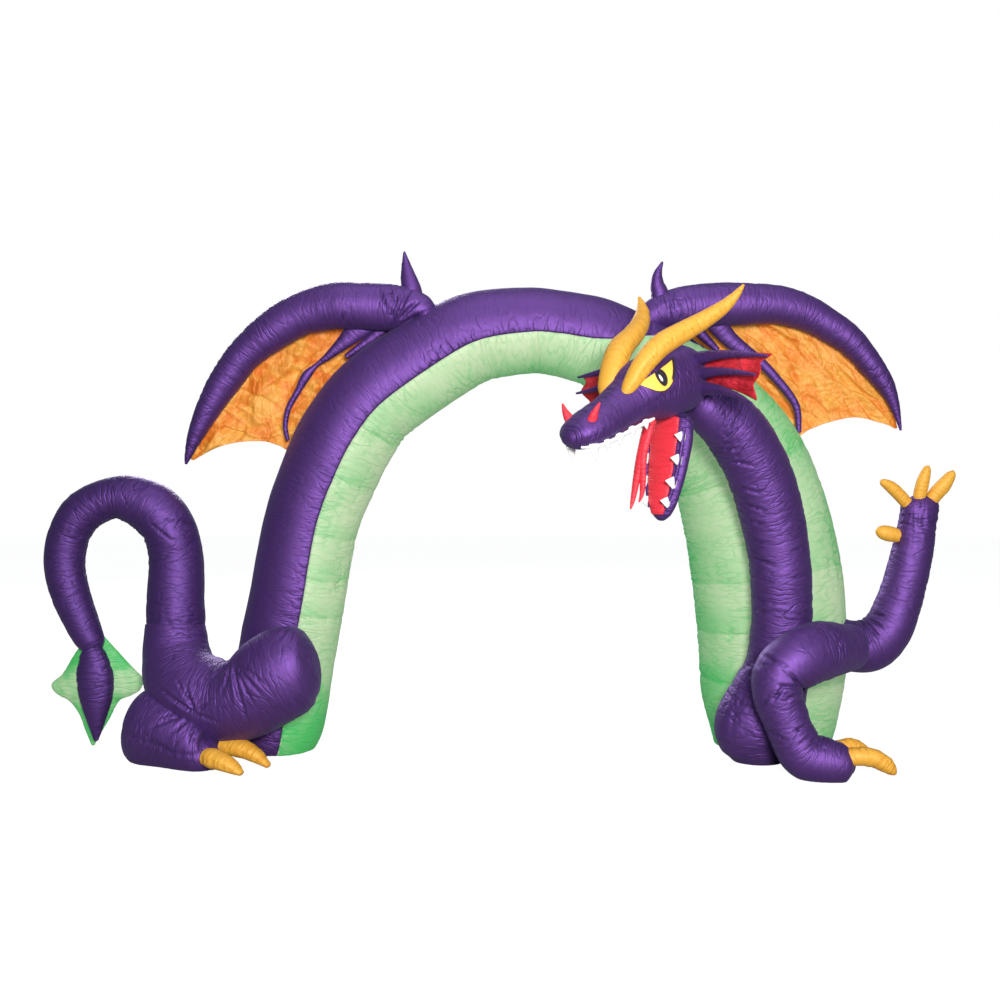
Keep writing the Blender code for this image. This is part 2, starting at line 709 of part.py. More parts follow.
def gum_with_teeth(name, rows, teeth, point):
    """A sewn strip with padded teeth standing on it, as one piece."""
    strip = tube(name, rows, WHITE, face=point, sides=6, place=HEAD)
    for x, y, z, long, wide in teeth:
        root = Vector((x, y, z)) - point * TOOTH_ROOT
        tooth_rows = []
        for part, across, through in TOOTH:
            spot = root + point * long * part
            tooth_rows.append((*spot, wide * across, TOOTH_HALF * through))
        join(strip, tube("tooth", tooth_rows, WHITE, face=SIDEWAYS, sides=5, place=HEAD))
    return strip


# The upper strip follows the lip, and its teeth hang toward the floor of the mouth.
UPPER_GUM = [
    (0.775, 0.045, 0.022, 0.006, 0.006),
    (0.710, 0.084, 0.006, 0.009, 0.009),
    (0.620, 0.094, 0.004, 0.009, 0.009),
    (0.520, 0.091, 0.006, 0.009, 0.009),
    (0.420, 0.098, 0.010, 0.009, 0.009),
    (0.340, 0.106, 0.012, 0.006, 0.006),
]
# x, y, z, length, half width
UPPER_TEETH = [
    (0.728, 0.074, 0.012, 0.072, 0.030),
    (0.665, 0.090, 0.004, 0.038, 0.020),
    (0.592, 0.094, 0.004, 0.046, 0.024),
    (0.508, 0.092, 0.006, 0.042, 0.024),
    (0.425, 0.098, 0.009, 0.036, 0.022),
]
# distance down the jaw, to the side, up from its middle
LOWER_GUM = [
    (0.050, 0.104, 0.040),
    (0.150, 0.104, 0.040),
    (0.250, 0.094, 0.037),
    (0.340, 0.076, 0.035),
    (0.410, 0.050, 0.032),
]
GUM_HALF = 0.009
# distance down the jaw, to the side, length, half width
LOWER_TEETH = [
    (0.085, 0.100, 0.040, 0.022),
    (0.190, 0.098, 0.042, 0.023),
    (0.295, 0.086, 0.044, 0.023),
    (0.385, 0.064, 0.040, 0.021),
]
LOWER_TEETH_LIFT = 0.040
HANGING = Vector((0.15, 0, -1)).normalized()

# The eye is a patch on the side of the skull, straight above and round below.
# along the skull, degrees from the crown to its upper edge
EYE_BACK = (0.172, 40)
EYE_FRONT = (0.412, 48)
EYE_DEPTH = 45  # degrees, at its lowest
EYE_LEAN = 1.25  # above 1 the lowest place lies toward the nose
EYE_CORNER = 2  # degrees, at its corners
EYE_ROUND = 0.8  # below 1 the lower edge is fuller than a half wave
EYE_LIFT = 0.0018
EYE_OUT = Vector((0, 1, 0.7))
EYE_LINES = 10
EYE_STEPS = 5
SKULL_STEP = 0.02  # of a row of the skull's table


def on_skull(distance, angle, lift):
    """A place on the skull's cloth, at a distance along it and an angle from the crown."""
    place = 0.0
    while place < len(SKULL) - 1 and along(SKULL, place)[0] < distance:
        place += SKULL_STEP
    x, y, z, wide, high = along(SKULL, place)
    return Vector((x, (wide + lift) * math.sin(angle), z + (high + lift) * math.cos(angle)))


def eye_patch(sign):
    lines = []
    for number in range(EYE_LINES + 1):
        share = number / EYE_LINES
        distance = EYE_BACK[0] + (EYE_FRONT[0] - EYE_BACK[0]) * share
        top = EYE_BACK[1] + (EYE_FRONT[1] - EYE_BACK[1]) * share
        drop = EYE_CORNER + EYE_DEPTH * math.sin(math.pi * share**EYE_LEAN) ** EYE_ROUND
        line = []
        for step in range(EYE_STEPS + 1):
            angle = math.radians(top + drop * step / EYE_STEPS)
            line.append(HEAD @ on_skull(distance, sign * angle, EYE_LIFT))
        lines.append(line)
    return lines


for which, sign in (("near", 1), ("far", -1)):
    rows = [(x, sign * y, z, wide, deep) for x, y, z, wide, deep in UPPER_GUM]
    teeth = [(x, sign * y, z, long, wide) for x, y, z, long, wide in UPPER_TEETH]
    seat(gum_with_teeth("upper_teeth_" + which, rows, teeth, HANGING), head)

    rows = []
    for down, out, lift in LOWER_GUM:
        rows.append((*across_jaw(down, lift, sign * out), GUM_HALF, GUM_HALF))
    teeth = []
    for down, out, long, wide in LOWER_TEETH:
        teeth.append((*across_jaw(down, LOWER_TEETH_LIFT, sign * out), long, wide))
    seat(gum_with_teeth("lower_teeth_" + which, rows, teeth, INWARD), jaw, head, lining)

    turned = to_far if sign < 0 else list
    horn = tube("horn_" + which, turned(HORN), YELLOW, face=CROWN, sides=10, place=HEAD)
    seat(horn, head)
    spike = tube("nostril_" + which, turned(NOSTRIL_SPIKE), RED, sides=8, place=HEAD)
    seat(spike, head)
    ribs = {}
    for rib_name, rows in FRILL_RIBS.items():
        ribs[rib_name] = rows if sign > 0 else to_far_frill(rows)
        name = "frill_rib_" + rib_name + "_" + which
        rib = tube(name, ribs[rib_name], PURPLE, face=CROWN, sides=6, place=HEAD)
        seat(rib, head, neck)
    seat(sheet("frill_web_" + which, frill_web(ribs), NOSEWARD, RED), head, neck)

    outward = EYE_OUT.copy()
    outward.y *= sign
    seat(sheet("eye_" + which, eye_patch(sign), HEAD.to_3x3() @ outward, YELLOW), head, horn)

# ---- Wings: a padded arm with a spike at its root, a cloth below it and two battens ----

# x, y, z, half width, half depth
WING_ARMS = {
    "left": [
        (-0.340, -0.06, 2.170, 0.045, 0.045),
        (-0.405, -0.05, 2.240, 0.078, 0.075),
        (-0.530, -0.02, 2.248, 0.116, 0.104),
        (-0.755, 0.00, 2.258, 0.119, 0.112),
        (-0.880, 0.015, 2.252, 0.117, 0.110),
        (-1.016, 0.03, 2.215, 0.110, 0.106),
        (-1.132, 0.04, 2.153, 0.105, 0.102),
        (-1.300, 0.05, 2.025, 0.089, 0.088),
        (-1.407, 0.06, 1.890, 0.083, 0.082),
        (-1.489, 0.06, 1.758, 0.066, 0.067),
        (-1.559, 0.06, 1.618, 0.043, 0.045),
        (-1.600, 0.06, 1.510, 0.022, 0.024),
        (-1.616, 0.06, 1.458, 0.007, 0.007),
    ],
    "right": [
        (0.700, 0.00, 2.150, 0.050, 0.050),
        (0.790, 0.00, 2.215, 0.085, 0.080),
        (0.918, 0.00, 2.245, 0.110, 0.100),
        (1.110, 0.02, 2.268, 0.112, 0.106),
        (1.240, 0.03, 2.273, 0.108, 0.104),
        (1.398, 0.04, 2.270, 0.101, 0.100),
        (1.520, 0.05, 2.243, 0.096, 0.096),
        (1.628, 0.055, 2.195, 0.085, 0.086),
        (1.796, 0.06, 2.085, 0.076, 0.077),
        (1.944, 0.06, 1.908, 0.056, 0.058),
        (2.010, 0.06, 1.795, 0.035, 0.037),
        (2.048, 0.06, 1.680, 0.014, 0.015),
        (2.059, 0.06, 1.631, 0.006, 0.006),
    ],
}
WING_SPIKES = {
    "left": [
        (-0.430, -0.03, 2.250, 0.055, 0.050),
        (-0.447, -0.02, 2.340, 0.052, 0.046),
        (-0.462, -0.01, 2.400, 0.042, 0.038),
        (-0.474, 0.00, 2.460, 0.027, 0.025),
        (-0.484, 0.00, 2.533, 0.005, 0.005),
    ],
    "right": [
        (0.820, 0.00, 2.250, 0.050, 0.046),
        (0.810, 0.00, 2.320, 0.046, 0.042),
        (0.797, 0.00, 2.370, 0.036, 0.034),
        (0.798, 0.00, 2.420, 0.024, 0.023),
        (0.822, 0.00, 2.482, 0.005, 0.005),
    ],
}
# Each row: a place on the arm, and the place on the lower edge that the cloth runs to from it.
# Where the lower edge runs in behind the arch, the cloth is cut along the arch's skin.
# arm x, arm z, edge x, edge z
WING_CLOTHS = {
    "left": [
        (-1.600, 1.480, -1.585, 1.476),
        (-1.560, 1.600, -1.472, 1.538),
        (-1.450, 1.780, -1.354, 1.569),
        (-1.320, 1.930, -1.225, 1.574),
        (-1.240, 2.010, -1.148, 1.554),
        (-1.130, 2.090, -1.040, 1.525),
        (-1.000, 2.150, -0.920, 1.720),
        (-0.870, 2.190, -0.820, 1.860),
        (-0.740, 2.200, -0.710, 1.980),
        (-0.600, 2.200, -0.590, 2.080),
        (-0.480, 2.200, -0.480, 2.100),
    ],
    "right": [
        (2.040, 1.650, 2.030, 1.645),
        (1.996, 1.780, 1.976, 1.667),
        (1.900, 1.910, 1.838, 1.698),
        (1.800, 2.020, 1.699, 1.672),
        (1.700, 2.090, 1.601, 1.636),
        (1.580, 2.160, 1.500, 1.600),
        (1.450, 2.200, 1.350, 1.780),
        (1.330, 2.220, 1.250, 1.880),
        (1.200, 2.220, 1.130, 1.960),
        (1.080, 2.220, 1.030, 2.040),
        (0.960, 2.220, 0.940, 2.090),
    ],
}
BATTENS = {
    "left_long": [
        (-0.690, 0.020, 2.180, 0.068, 0.028),
        (-0.790, 0.030, 2.085, 0.040, 0.026),
        (-0.876, 0.035, 2.010, 0.021, 0.019),
        (-0.935, 0.038, 1.965, 0.012, 0.012),
        (-0.990, 0.040, 1.910, 0.024, 0.020),
        (-1.035, 0.042, 1.830, 0.017, 0.016),
        (-1.082, 0.042, 1.745, 0.015, 0.015),
        (-1.100, 0.044, 1.655, 0.013, 0.013),
        (-1.088, 0.044, 1.580, 0.010, 0.010),
    ],
    "left_short": [
        (-0.560, 0.030, 2.175, 0.036, 0.024),
        (-0.660, 0.030, 2.095, 0.026, 0.022),
        (-0.785, 0.030, 2.005, 0.015, 0.015),
    ],
    "right_long": [
        (1.080, 0.020, 2.200, 0.056, 0.028),
        (1.166, 0.030, 2.100, 0.044, 0.028),
        (1.250, 0.034, 2.035, 0.036, 0.025),
        (1.350, 0.038, 1.960, 0.026, 0.022),
        (1.475, 0.040, 1.820, 0.022, 0.020),
        (1.522, 0.042, 1.735, 0.019, 0.018),
        (1.532, 0.042, 1.620, 0.013, 0.013),
    ],
    "right_short": [
        (0.955, 0.030, 2.200, 0.033, 0.024),
        (1.036, 0.030, 2.110, 0.026, 0.022),
        (1.110, 0.030, 2.040, 0.015, 0.015),
    ],
}
CLOTH_DEPTH = 0.068  # the wing cloth lies behind the battens
CLOTH_SLACK = 0.012  # how far it bellies out behind, in its middle
CLOTH_FOLD = 0.010  # depth of its main folds
FOLD_TURN = 1.3  # radians of a fold's wave from one line of the cloth to the next
FOLD_LEAN = 2.6  # and from the arm down to the lower edge
CLOTH_LINES = 5


def wing_cloth(rows):
    """Lines of points from the arm to the lower edge, with shallow folds fanned from the root."""
    lines = []
    for number, (arm_x, arm_z, edge_x, edge_z) in enumerate(stations(rows, 2)):
        line = []
        for step in range(CLOTH_LINES + 1):
            share = step / CLOTH_LINES
            slack = math.sin(math.pi * share)
            fold = CLOTH_FOLD * slack * math.sin(FOLD_TURN * number + FOLD_LEAN * share)
            x = arm_x + (edge_x - arm_x) * share
            z = arm_z + (edge_z - arm_z) * share
            line.append(Vector((x, CLOTH_DEPTH + CLOTH_SLACK * slack + fold, z)))
        lines.append(line)
    return lines


wing_arms = {}
for which, rows in WING_ARMS.items():
    wing_arm = seat(tube("wing_arm_" + which, rows, PURPLE, sides=14), arch_belly, arch_back)
    wing_arms[which] = wing_arm
    spike = tube("wing_spike_" + which, WING_SPIKES[which], PURPLE, sides=8)
    seat(spike, wing_arm, arch_back)
    cloth = sheet("wing_cloth_" + which, wing_cloth(WING_CLOTHS[which]), FRONT, ORANGE)
    seat(cloth, wing_arm)
    seat(cloth, arch_back, arch_belly, clearance=SHEET_CLEAR)
for name, rows in BATTENS.items():
    batten = tube("batten_" + name, rows, PURPLE, sides=6)
    seat(batten, wing_arms[name.split("_")[0]], arch_back, arch_belly)

# ---- The origin: on the ground, in the middle of everything ----

corners = []
for piece in arch.objects:
    corners += [piece.matrix_world @ Vector(corner) for corner in piece.bound_box]
middle = [(min(c[i] for c in corners) + max(c[i] for c in corners)) / 2 for i in range(2)]
stand.location = (-middle[0], -middle[1], 0)
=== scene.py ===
"""An inflatable dragon archway of nylon taffeta, blown up by its blower, standing on a plain pale
floor.
"""

import math

import bmesh
import bpy
from mathutils import Matrix, Vector, noise
from mathutils.bvhtree import BVHTree


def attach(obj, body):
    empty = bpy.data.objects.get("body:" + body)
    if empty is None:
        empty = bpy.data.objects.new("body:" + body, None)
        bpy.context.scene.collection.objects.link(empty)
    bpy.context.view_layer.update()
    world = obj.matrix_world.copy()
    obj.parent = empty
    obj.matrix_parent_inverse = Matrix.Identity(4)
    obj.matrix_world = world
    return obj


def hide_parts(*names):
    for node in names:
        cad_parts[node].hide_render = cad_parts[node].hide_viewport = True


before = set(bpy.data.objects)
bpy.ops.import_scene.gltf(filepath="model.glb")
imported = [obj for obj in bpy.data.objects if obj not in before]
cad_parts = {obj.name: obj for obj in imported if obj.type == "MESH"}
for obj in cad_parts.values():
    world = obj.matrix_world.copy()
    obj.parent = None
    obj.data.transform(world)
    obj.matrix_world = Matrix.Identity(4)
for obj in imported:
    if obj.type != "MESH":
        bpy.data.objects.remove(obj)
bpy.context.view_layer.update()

# ---- The arch ----
# One long tube of nylon taffeta, blown up by the blower: purple on its back, green on its belly.
# The two colours are sewn together along both sides, and the green is pieced from short panels.
# The cloth puckers at every seam and gathers in creases on the inside of a bend.

# Places in the tables count from the middle of the way through, on the ground, in metres.
MIDDLE = Vector((-0.007292, 0.250310, 0.0))
FRONT = Vector((0, -1, 0))
UP = Vector((0, 0, 1))

# x, y, z, half width, half depth, near seam, far seam in degrees from the front
ARCH = [
    (-1.165, 0, 0, 0.18, 0.19, 14, 166), (-1.155, 0, 0.05, 0.215, 0.215, 14, 166),
    (-1.135, 0, 0.18, 0.24, 0.232, 14, 166), (-1.098, 0, 0.46, 0.248, 0.24, 14, 166),
    (-1.04, 0, 0.76, 0.243, 0.24, 14, 166), (-0.96, 0, 1.17, 0.24, 0.235, 13, 166),
    (-0.86, 0, 1.43, 0.245, 0.235, 12, 166), (-0.755, 0, 1.63, 0.247, 0.235, 12, 166),
    (-0.61, 0, 1.805, 0.243, 0.23, 12, 166), (-0.306, 0, 2.01, 0.235, 0.225, 10, 166),
    (-0.102, 0, 2.105, 0.227, 0.22, 8, 166), (0.153, 0, 2.135, 0.216, 0.215, 6, 166),
    (0.306, 0, 2.12, 0.216, 0.215, 4, 165), (0.46, 0.01, 2.085, 0.225, 0.22, 0, 160),
    (0.56, 0.02, 2.045, 0.228, 0.225, -14, 152), (0.65, 0.03, 2, 0.232, 0.23, -32, 142),
    (0.76, 0.045, 1.94, 0.243, 0.235, -52, 132), (0.87, 0.06, 1.868, 0.257, 0.245, -70, 124),
    (1.075, 0.08, 1.675, 0.312, 0.27, -86, 112), (1.22, 0.1, 1.47, 0.35, 0.29, -90, 108),
    (1.32, 0.1, 1.19, 0.373, 0.31, -90, 106), (1.372, 0.1, 0.96, 0.385, 0.32, -90, 106),
    (1.403, 0.1, 0.72, 0.386, 0.32, -90, 106), (1.419, 0.1, 0.47, 0.38, 0.315, -90, 106),
    (1.419, 0.1, 0.27, 0.365, 0.305, -90, 106), (1.422, 0.1, 0.11, 0.33, 0.28, -90, 106),
    (1.422, 0.1, 0, 0.3, 0.255, -90, 106),
]
# Painted shade on the green: how deep it is at a place in the table, then at the near seam, halfway
# and at the far seam.
GREEN_SHADES = [
    (0, 0.75, 0.95, 0.95), (2, 0.62, 0.85, 0.9), (3, 0.08, 0.28, 0.5), (4, 0.06, 0, 0.12),
    (8, 0, 0.15, 0.32), (10, 0, 0.55, 0.6), (12, 0, 0.65, 0.6), (14, 0.1, 0.6, 0.6),
    (15, 0.3, 0.45, 0.6), (17, 0.42, 0.12, 0.5), (19, 0.42, 0, 0.55), (21, 0.34, 0, 0.62),
    (22, 0.12, 0, 0.7), (23, 0.06, 0, 0.85), (25, 0.2, 0.3, 0.95), (26, 0.5, 0.6, 0.95),
]
# Heights of the panels' seams across the green.
LEFT_SEAMS = (0.72, 0.90, 1.12, 1.42, 1.68)
RIGHT_SEAMS = (0.35, 0.62, 0.90, 1.42)
TOP_OF_THE_WAY = 0.2  # where the left leg's seams end and the right leg's begin
TOP_PANEL = 0.5  # height of the panel above the highest seam
ARCH_STEP = 0.0095  # from ring to ring
CHORD = 8  # faces across the inner side, where the two halves lie against each other
TOUCHING = 1e-6  # corners this near are one


def along(rows, place):
    """The values of a table at a place between its rows, on a smooth curve through them."""
    first = min(int(place), len(rows) - 2)
    part = place - first
    before = rows[max(first - 1, 0)]
    start, end = rows[first], rows[first + 1]
    after = rows[min(first + 2, len(rows) - 1)]
    values = []
    for p, q, r, s in zip(before, start, end, after):
        bend = 2 * p - 5 * q + 4 * r - s
        swing = 3 * (q - r) + s - p
        values.append(q + 0.5 * part * (r - p + part * (bend + part * swing)))
    return values


class Path:
    """A tube's table walked in equal steps: centres, sizes, directions and bends of its rings."""

    def __init__(self, rows, step, face, place=None, level=False):
        place = place or Matrix.Translation(MIDDLE)
        fine = 24
        walk = [along(rows, i / fine) for i in range(fine * (len(rows) - 1) + 1)]
        run = [0.0]
        for here, there in zip(walk, walk[1:]):
            moved = (Vector(there[:3]) - Vector(here[:3])).length
            run.append(run[-1] + math.hypot(moved, there[3] - here[3]))
        self.marks = [run[fine * i] for i in range(len(rows))]
        self.count = max(8, round(run[-1] / step))
        self.rows, self.run, self.places = [], [], []
        spot = 0
        for i in range(self.count + 1):
            goal = run[-1] * i / self.count
            while spot < len(run) - 2 and run[spot + 1] < goal:
                spot += 1
            share = (goal - run[spot]) / max(run[spot + 1] - run[spot], 1e-9)
            self.places.append((spot + min(share, 1.0)) / fine)
            self.rows.append(along(rows, self.places[-1]))
            self.run.append(goal)
        self.centres = [place @ Vector(row[:3]) for row in self.rows]
        turned = place.to_3x3() @ face
        self.frames, self.bends = [], []
        for i in range(self.count + 1):
            ahead = self.centres[min(i + 1, self.count)]
            behind = self.centres[max(i - 1, 0)]
            path = -UP if level else (ahead - behind).normalized()
            toward = (turned - turned.dot(path) * path).normalized()
            self.frames.append((toward, path.cross(toward), path))
        reach = max(2, round(0.06 * self.count / max(run[-1], 0.1)))
        for i in range(self.count + 1):
            low, high = max(i - reach, 0), min(i + reach, self.count)
            turn = self.frames[high][2] - self.frames[low][2]
            self.bends.append(turn / max(self.run[high] - self.run[low], 1e-6))

    def out(self, i, angle):
        """The way outwards from a ring, at an angle round it from its facing side."""
        toward, side, _ = self.frames[i]
        return side * math.sin(angle) + toward * math.cos(angle)

    def spot(self, i, angle, off=0.0):
        """A place on a ring's cloth, which may stand off a little."""
        wide, deep = self.rows[i][3:5]
        toward, side, _ = self.frames[i]
        point = self.centres[i] + side * (wide + off) * math.sin(angle)
        return point + toward * (deep + off) * math.cos(angle)

    def inside(self, i, angle):
        """How far a place is on the inside of a bend: 0 on a straight tube and outside."""
        radius = 0.5 * (self.rows[i][3] + self.rows[i][4])
        return max(0.0, self.out(i, angle).dot(self.bends[i]) * radius)


def ridges(x, y, z):
    """Sharp crests with soft hollows between them, from 0 to 1."""
    return 1.0 - min(1.0, 2.2 * abs(noise.noise(Vector((x, y, z)))))


def ruffle(s, t, inside, edges, seams, way):
    """How far the cloth stands off at a place, and how creased it is there from 0 to 1.

    s runs along the tube and t round it, in metres; inside is how far the place is on the inside
    of a bend; edges are its distances from the lengthwise seams, seams those from the ones across.
    """
    seed = way["seed"]
    off = way["lump"] * noise.noise(Vector((s * 3.5, t * 3.5, seed)))
    off += 0.3 * way["lump"] * noise.noise(Vector((s * 13.0, t * 8.0, seed + 5)))
    patch = 0.5 + 0.9 * noise.noise(Vector((s * 4.5, t * 4.5, seed + 7)))
    patch = min(1.0, max(0.0, patch))
    # How creased the cloth is sets both the crinkles' relief and the painted shade along them.
    creased = way["crinkle_and_shade"] * patch
    for number, (d, pace) in enumerate([(d, s) for d in edges] + [(d, t) for d in seams]):
        reach = way["reach"] * (0.45 + 1.1 * patch)
        near = math.exp(-abs(d) / reach)
        if near > 0.03:
            lean = d * 5.0 + 0.8 * noise.noise(Vector((s * 6.0, t * 6.0, seed + 9)))
            pleat = ridges(pace * 26.0, lean, seed + 11 + number)
            fine = ridges(pace * 61.0, d * 12.0, seed + 31 + number)
            off += way["pucker"] * near * (0.4 + patch) * (pleat - 0.7 + 0.35 * (fine - 0.6))
            off -= way["sunk"] * math.exp(-((d / 0.012) ** 2))
            creased = max(creased, 0.8 * near * (0.35 + 0.65 * patch))
    if inside > 0.03:
        lean = t * 6.0 + 1.5 * noise.noise(Vector((s * 5.0, t * 5.0, seed + 90)))
        pleat = ridges(s * 19.0, lean, seed + 91)
        fine = ridges(s * 47.0, lean * 2.0, seed + 92)
        tight = min(1.0, inside) ** 1.4
        off += way["fold"] * tight * (pleat - 1.0 + 0.3 * (fine - 1.0))
        creased = max(creased, min(1.0, 1.4 * inside))
    return off, creased


def way_of(seed, lump=0.003, crinkle_and_shade=0.5, reach=0.05, pucker=0.004, sunk=0.002, fold=0.022):
    """How a piece is creased: see ruffle."""
    return dict(seed=seed, lump=lump, crinkle_and_shade=crinkle_and_shade, reach=reach, pucker=pucker, sunk=sunk, fold=fold)


def laid_out(corners):
    """A grid of cloth, and for each of its vertices its line and its step along the line.

    A corner is a place, how creased it is, its place on the flat cloth and how far its colour is
    drawn to the deep one: painted shade and light, and on an eye its printed rim.
    """
    lines, steps = len(corners) - 1, len(corners[0]) - 1
    mesh = bmesh.new()
    bmesh.ops.create_grid(mesh, x_segments=lines, y_segments=steps, size=0.5)
    spots = [(round((v.co.x + 0.5) * lines), round((v.co.y + 0.5) * steps)) for v in mesh.verts]
    cloth = mesh.loops.layers.uv.new("cloth")
    creased = mesh.verts.layers.float.new("creased")
    # The deep attribute carries painted shade and light, and on an eye its printed rim.
    deep = mesh.verts.layers.float.new("deep")
    mesh.verts.ensure_lookup_table()
    for vert, (i, j) in zip(mesh.verts, spots):
        vert.co, vert[creased], _, vert[deep] = corners[i][j]
    for face in mesh.faces:
        for loop in face.loops:
            i, j = spots[loop.vert.index]
            loop[cloth].uv = corners[i][j][2]
    return mesh, spots


def sewn(name, mesh, cloth):
    """The finished piece: its open edges sewn together and its faces turned outwards."""
    bmesh.ops.remove_doubles(mesh, verts=mesh.verts[:], dist=TOUCHING)
    bmesh.ops.dissolve_degenerate(mesh, edges=mesh.edges[:], dist=TOUCHING)
    bmesh.ops.recalc_face_normals(mesh, faces=mesh.faces[:])
    for face in mesh.faces:
        face.smooth = True
    data = bpy.data.meshes.new(name)
    mesh.to_mesh(data)
    mesh.free()
    data.materials.append(cloth)
    piece = bpy.data.objects.new(name + "_sewn", data)
    bpy.context.scene.collection.objects.link(piece)
    return piece


def end_cap(ring, heart, steps):
    """Rings from an end ring in to its heart: each has a share of its size, and a lift."""
    return [[[heart.lerp(spot[0], share) + lift, *spot[1:]] for spot in ring]
            for share, lift in steps]


def above_ground(corners):
    for line in corners:
        for spot in line:
            spot[0].z = max(spot[0].z, 0.0)


def smooth(value, low, high):
    """From 0 at low to 1 at high, gently at both ends; high may be the lesser."""
    share = min(1.0, max(0.0, (value - low) / (high - low)))
    return share * share * (3 - 2 * share)


def tone(place, share):
    """The painted shade on the green at a place along the arch, and a share of the way round its
    belly.
    """
    after = next((row for row in GREEN_SHADES if row[0] >= place), GREEN_SHADES[-1])
    before = [row for row in GREEN_SHADES if row[0] <= place][-1]
    part = (place - before[0]) / max(after[0] - before[0], 1e-6)
    near, middle, far = [p + (q - p) * part for p, q in zip(before[1:], after[1:])]
    if share < 0.5:
        return near + (middle - near) * smooth(share, 0.0, 0.5)
    return middle + (far - middle) * smooth(share, 0.5, 1.0)


def panel_shade(height, levels):
    """Painted shade: the green is deeper toward the lower edge of each panel and pale at the next
    one's top.
    """
    low = max([level for level in levels if level <= height], default=0.0)
    high = min([level for level in levels if level > height], default=low + TOP_PANEL)
    return 0.22 * smooth((height - low) / (high - low), 0.75, 0.0)


def half_tube(name, sides, is_back, way, cloth):
    """One colour's half of the tube, closed along its inner side and by flat soles."""
    path = Path(ARCH, ARCH_STEP, FRONT)
    corners = []
    for i, (x, _, height, wide, deep, near, far) in enumerate(path.rows):
        s, radius = path.run[i], 0.5 * (wide + deep)
        start, end = math.radians(near), math.radians(far)
        levels = LEFT_SEAMS if x < TOP_OF_THE_WAY else RIGHT_SEAMS
        if is_back:
            start, end, levels = end, start + 2 * math.pi, ()
        line = []
        for j in range(sides + 1):
            angle = start + (end - start) * j / sides
            t = angle * radius
            edges = ((angle - start) * radius, (end - angle) * radius)
            off, creased = ruffle(s, t, path.inside(i, angle), edges,
                                  [height - level for level in levels], way)
            shade = 0.0
            # Painted shade on the green: deeper toward its inner side and each panel's lower edge,
            # plus a random tone.
            if not is_back:
                shade = panel_shade(height, levels) + tone(path.places[i], j / sides)
                shade += 0.25 * noise.noise(Vector((s * 5.0, t * 5.0, 41)))
            shade = min(1.0, max(0.0, shade))
            line.append([path.spot(i, angle, off), creased, (s, t), shade])
        for j in range(1, CHORD + 1):
            inner = line[sides][0].lerp(line[0][0], j / CHORD)
            line.append([inner, 0.0, (s, j / CHORD), 0.0])
        if i in (0, path.count):
            for spot in line:
                spot[0].z = 0.0
        corners.append(line)
    above_ground(corners)
    soles = []
    for ring in (corners[0], corners[-1]):
        heart = sum((spot[0] for spot in ring), Vector()) / len(ring)
        soles.append(end_cap(ring, heart, [(share, Vector()) for share in (0.66, 0.33, 0.0)]))
    return sewn(name, laid_out(soles[0][::-1] + corners + soles[1])[0], cloth)


def node(tree, kind, sockets=None, **settings):
    """A new node; each socket named takes a value, or a link from another node's output."""
    made = tree.nodes.new(kind)
    for key, value in settings.items():
        setattr(made, key, value)
    plug(tree, made, sockets or {})
    return made


def plug(tree, made, sockets):
    for label, value in sockets.items():
        if isinstance(value, bpy.types.NodeSocket):
            tree.links.new(value, made.inputs[label])
        else:
            made.inputs[label].default_value = value


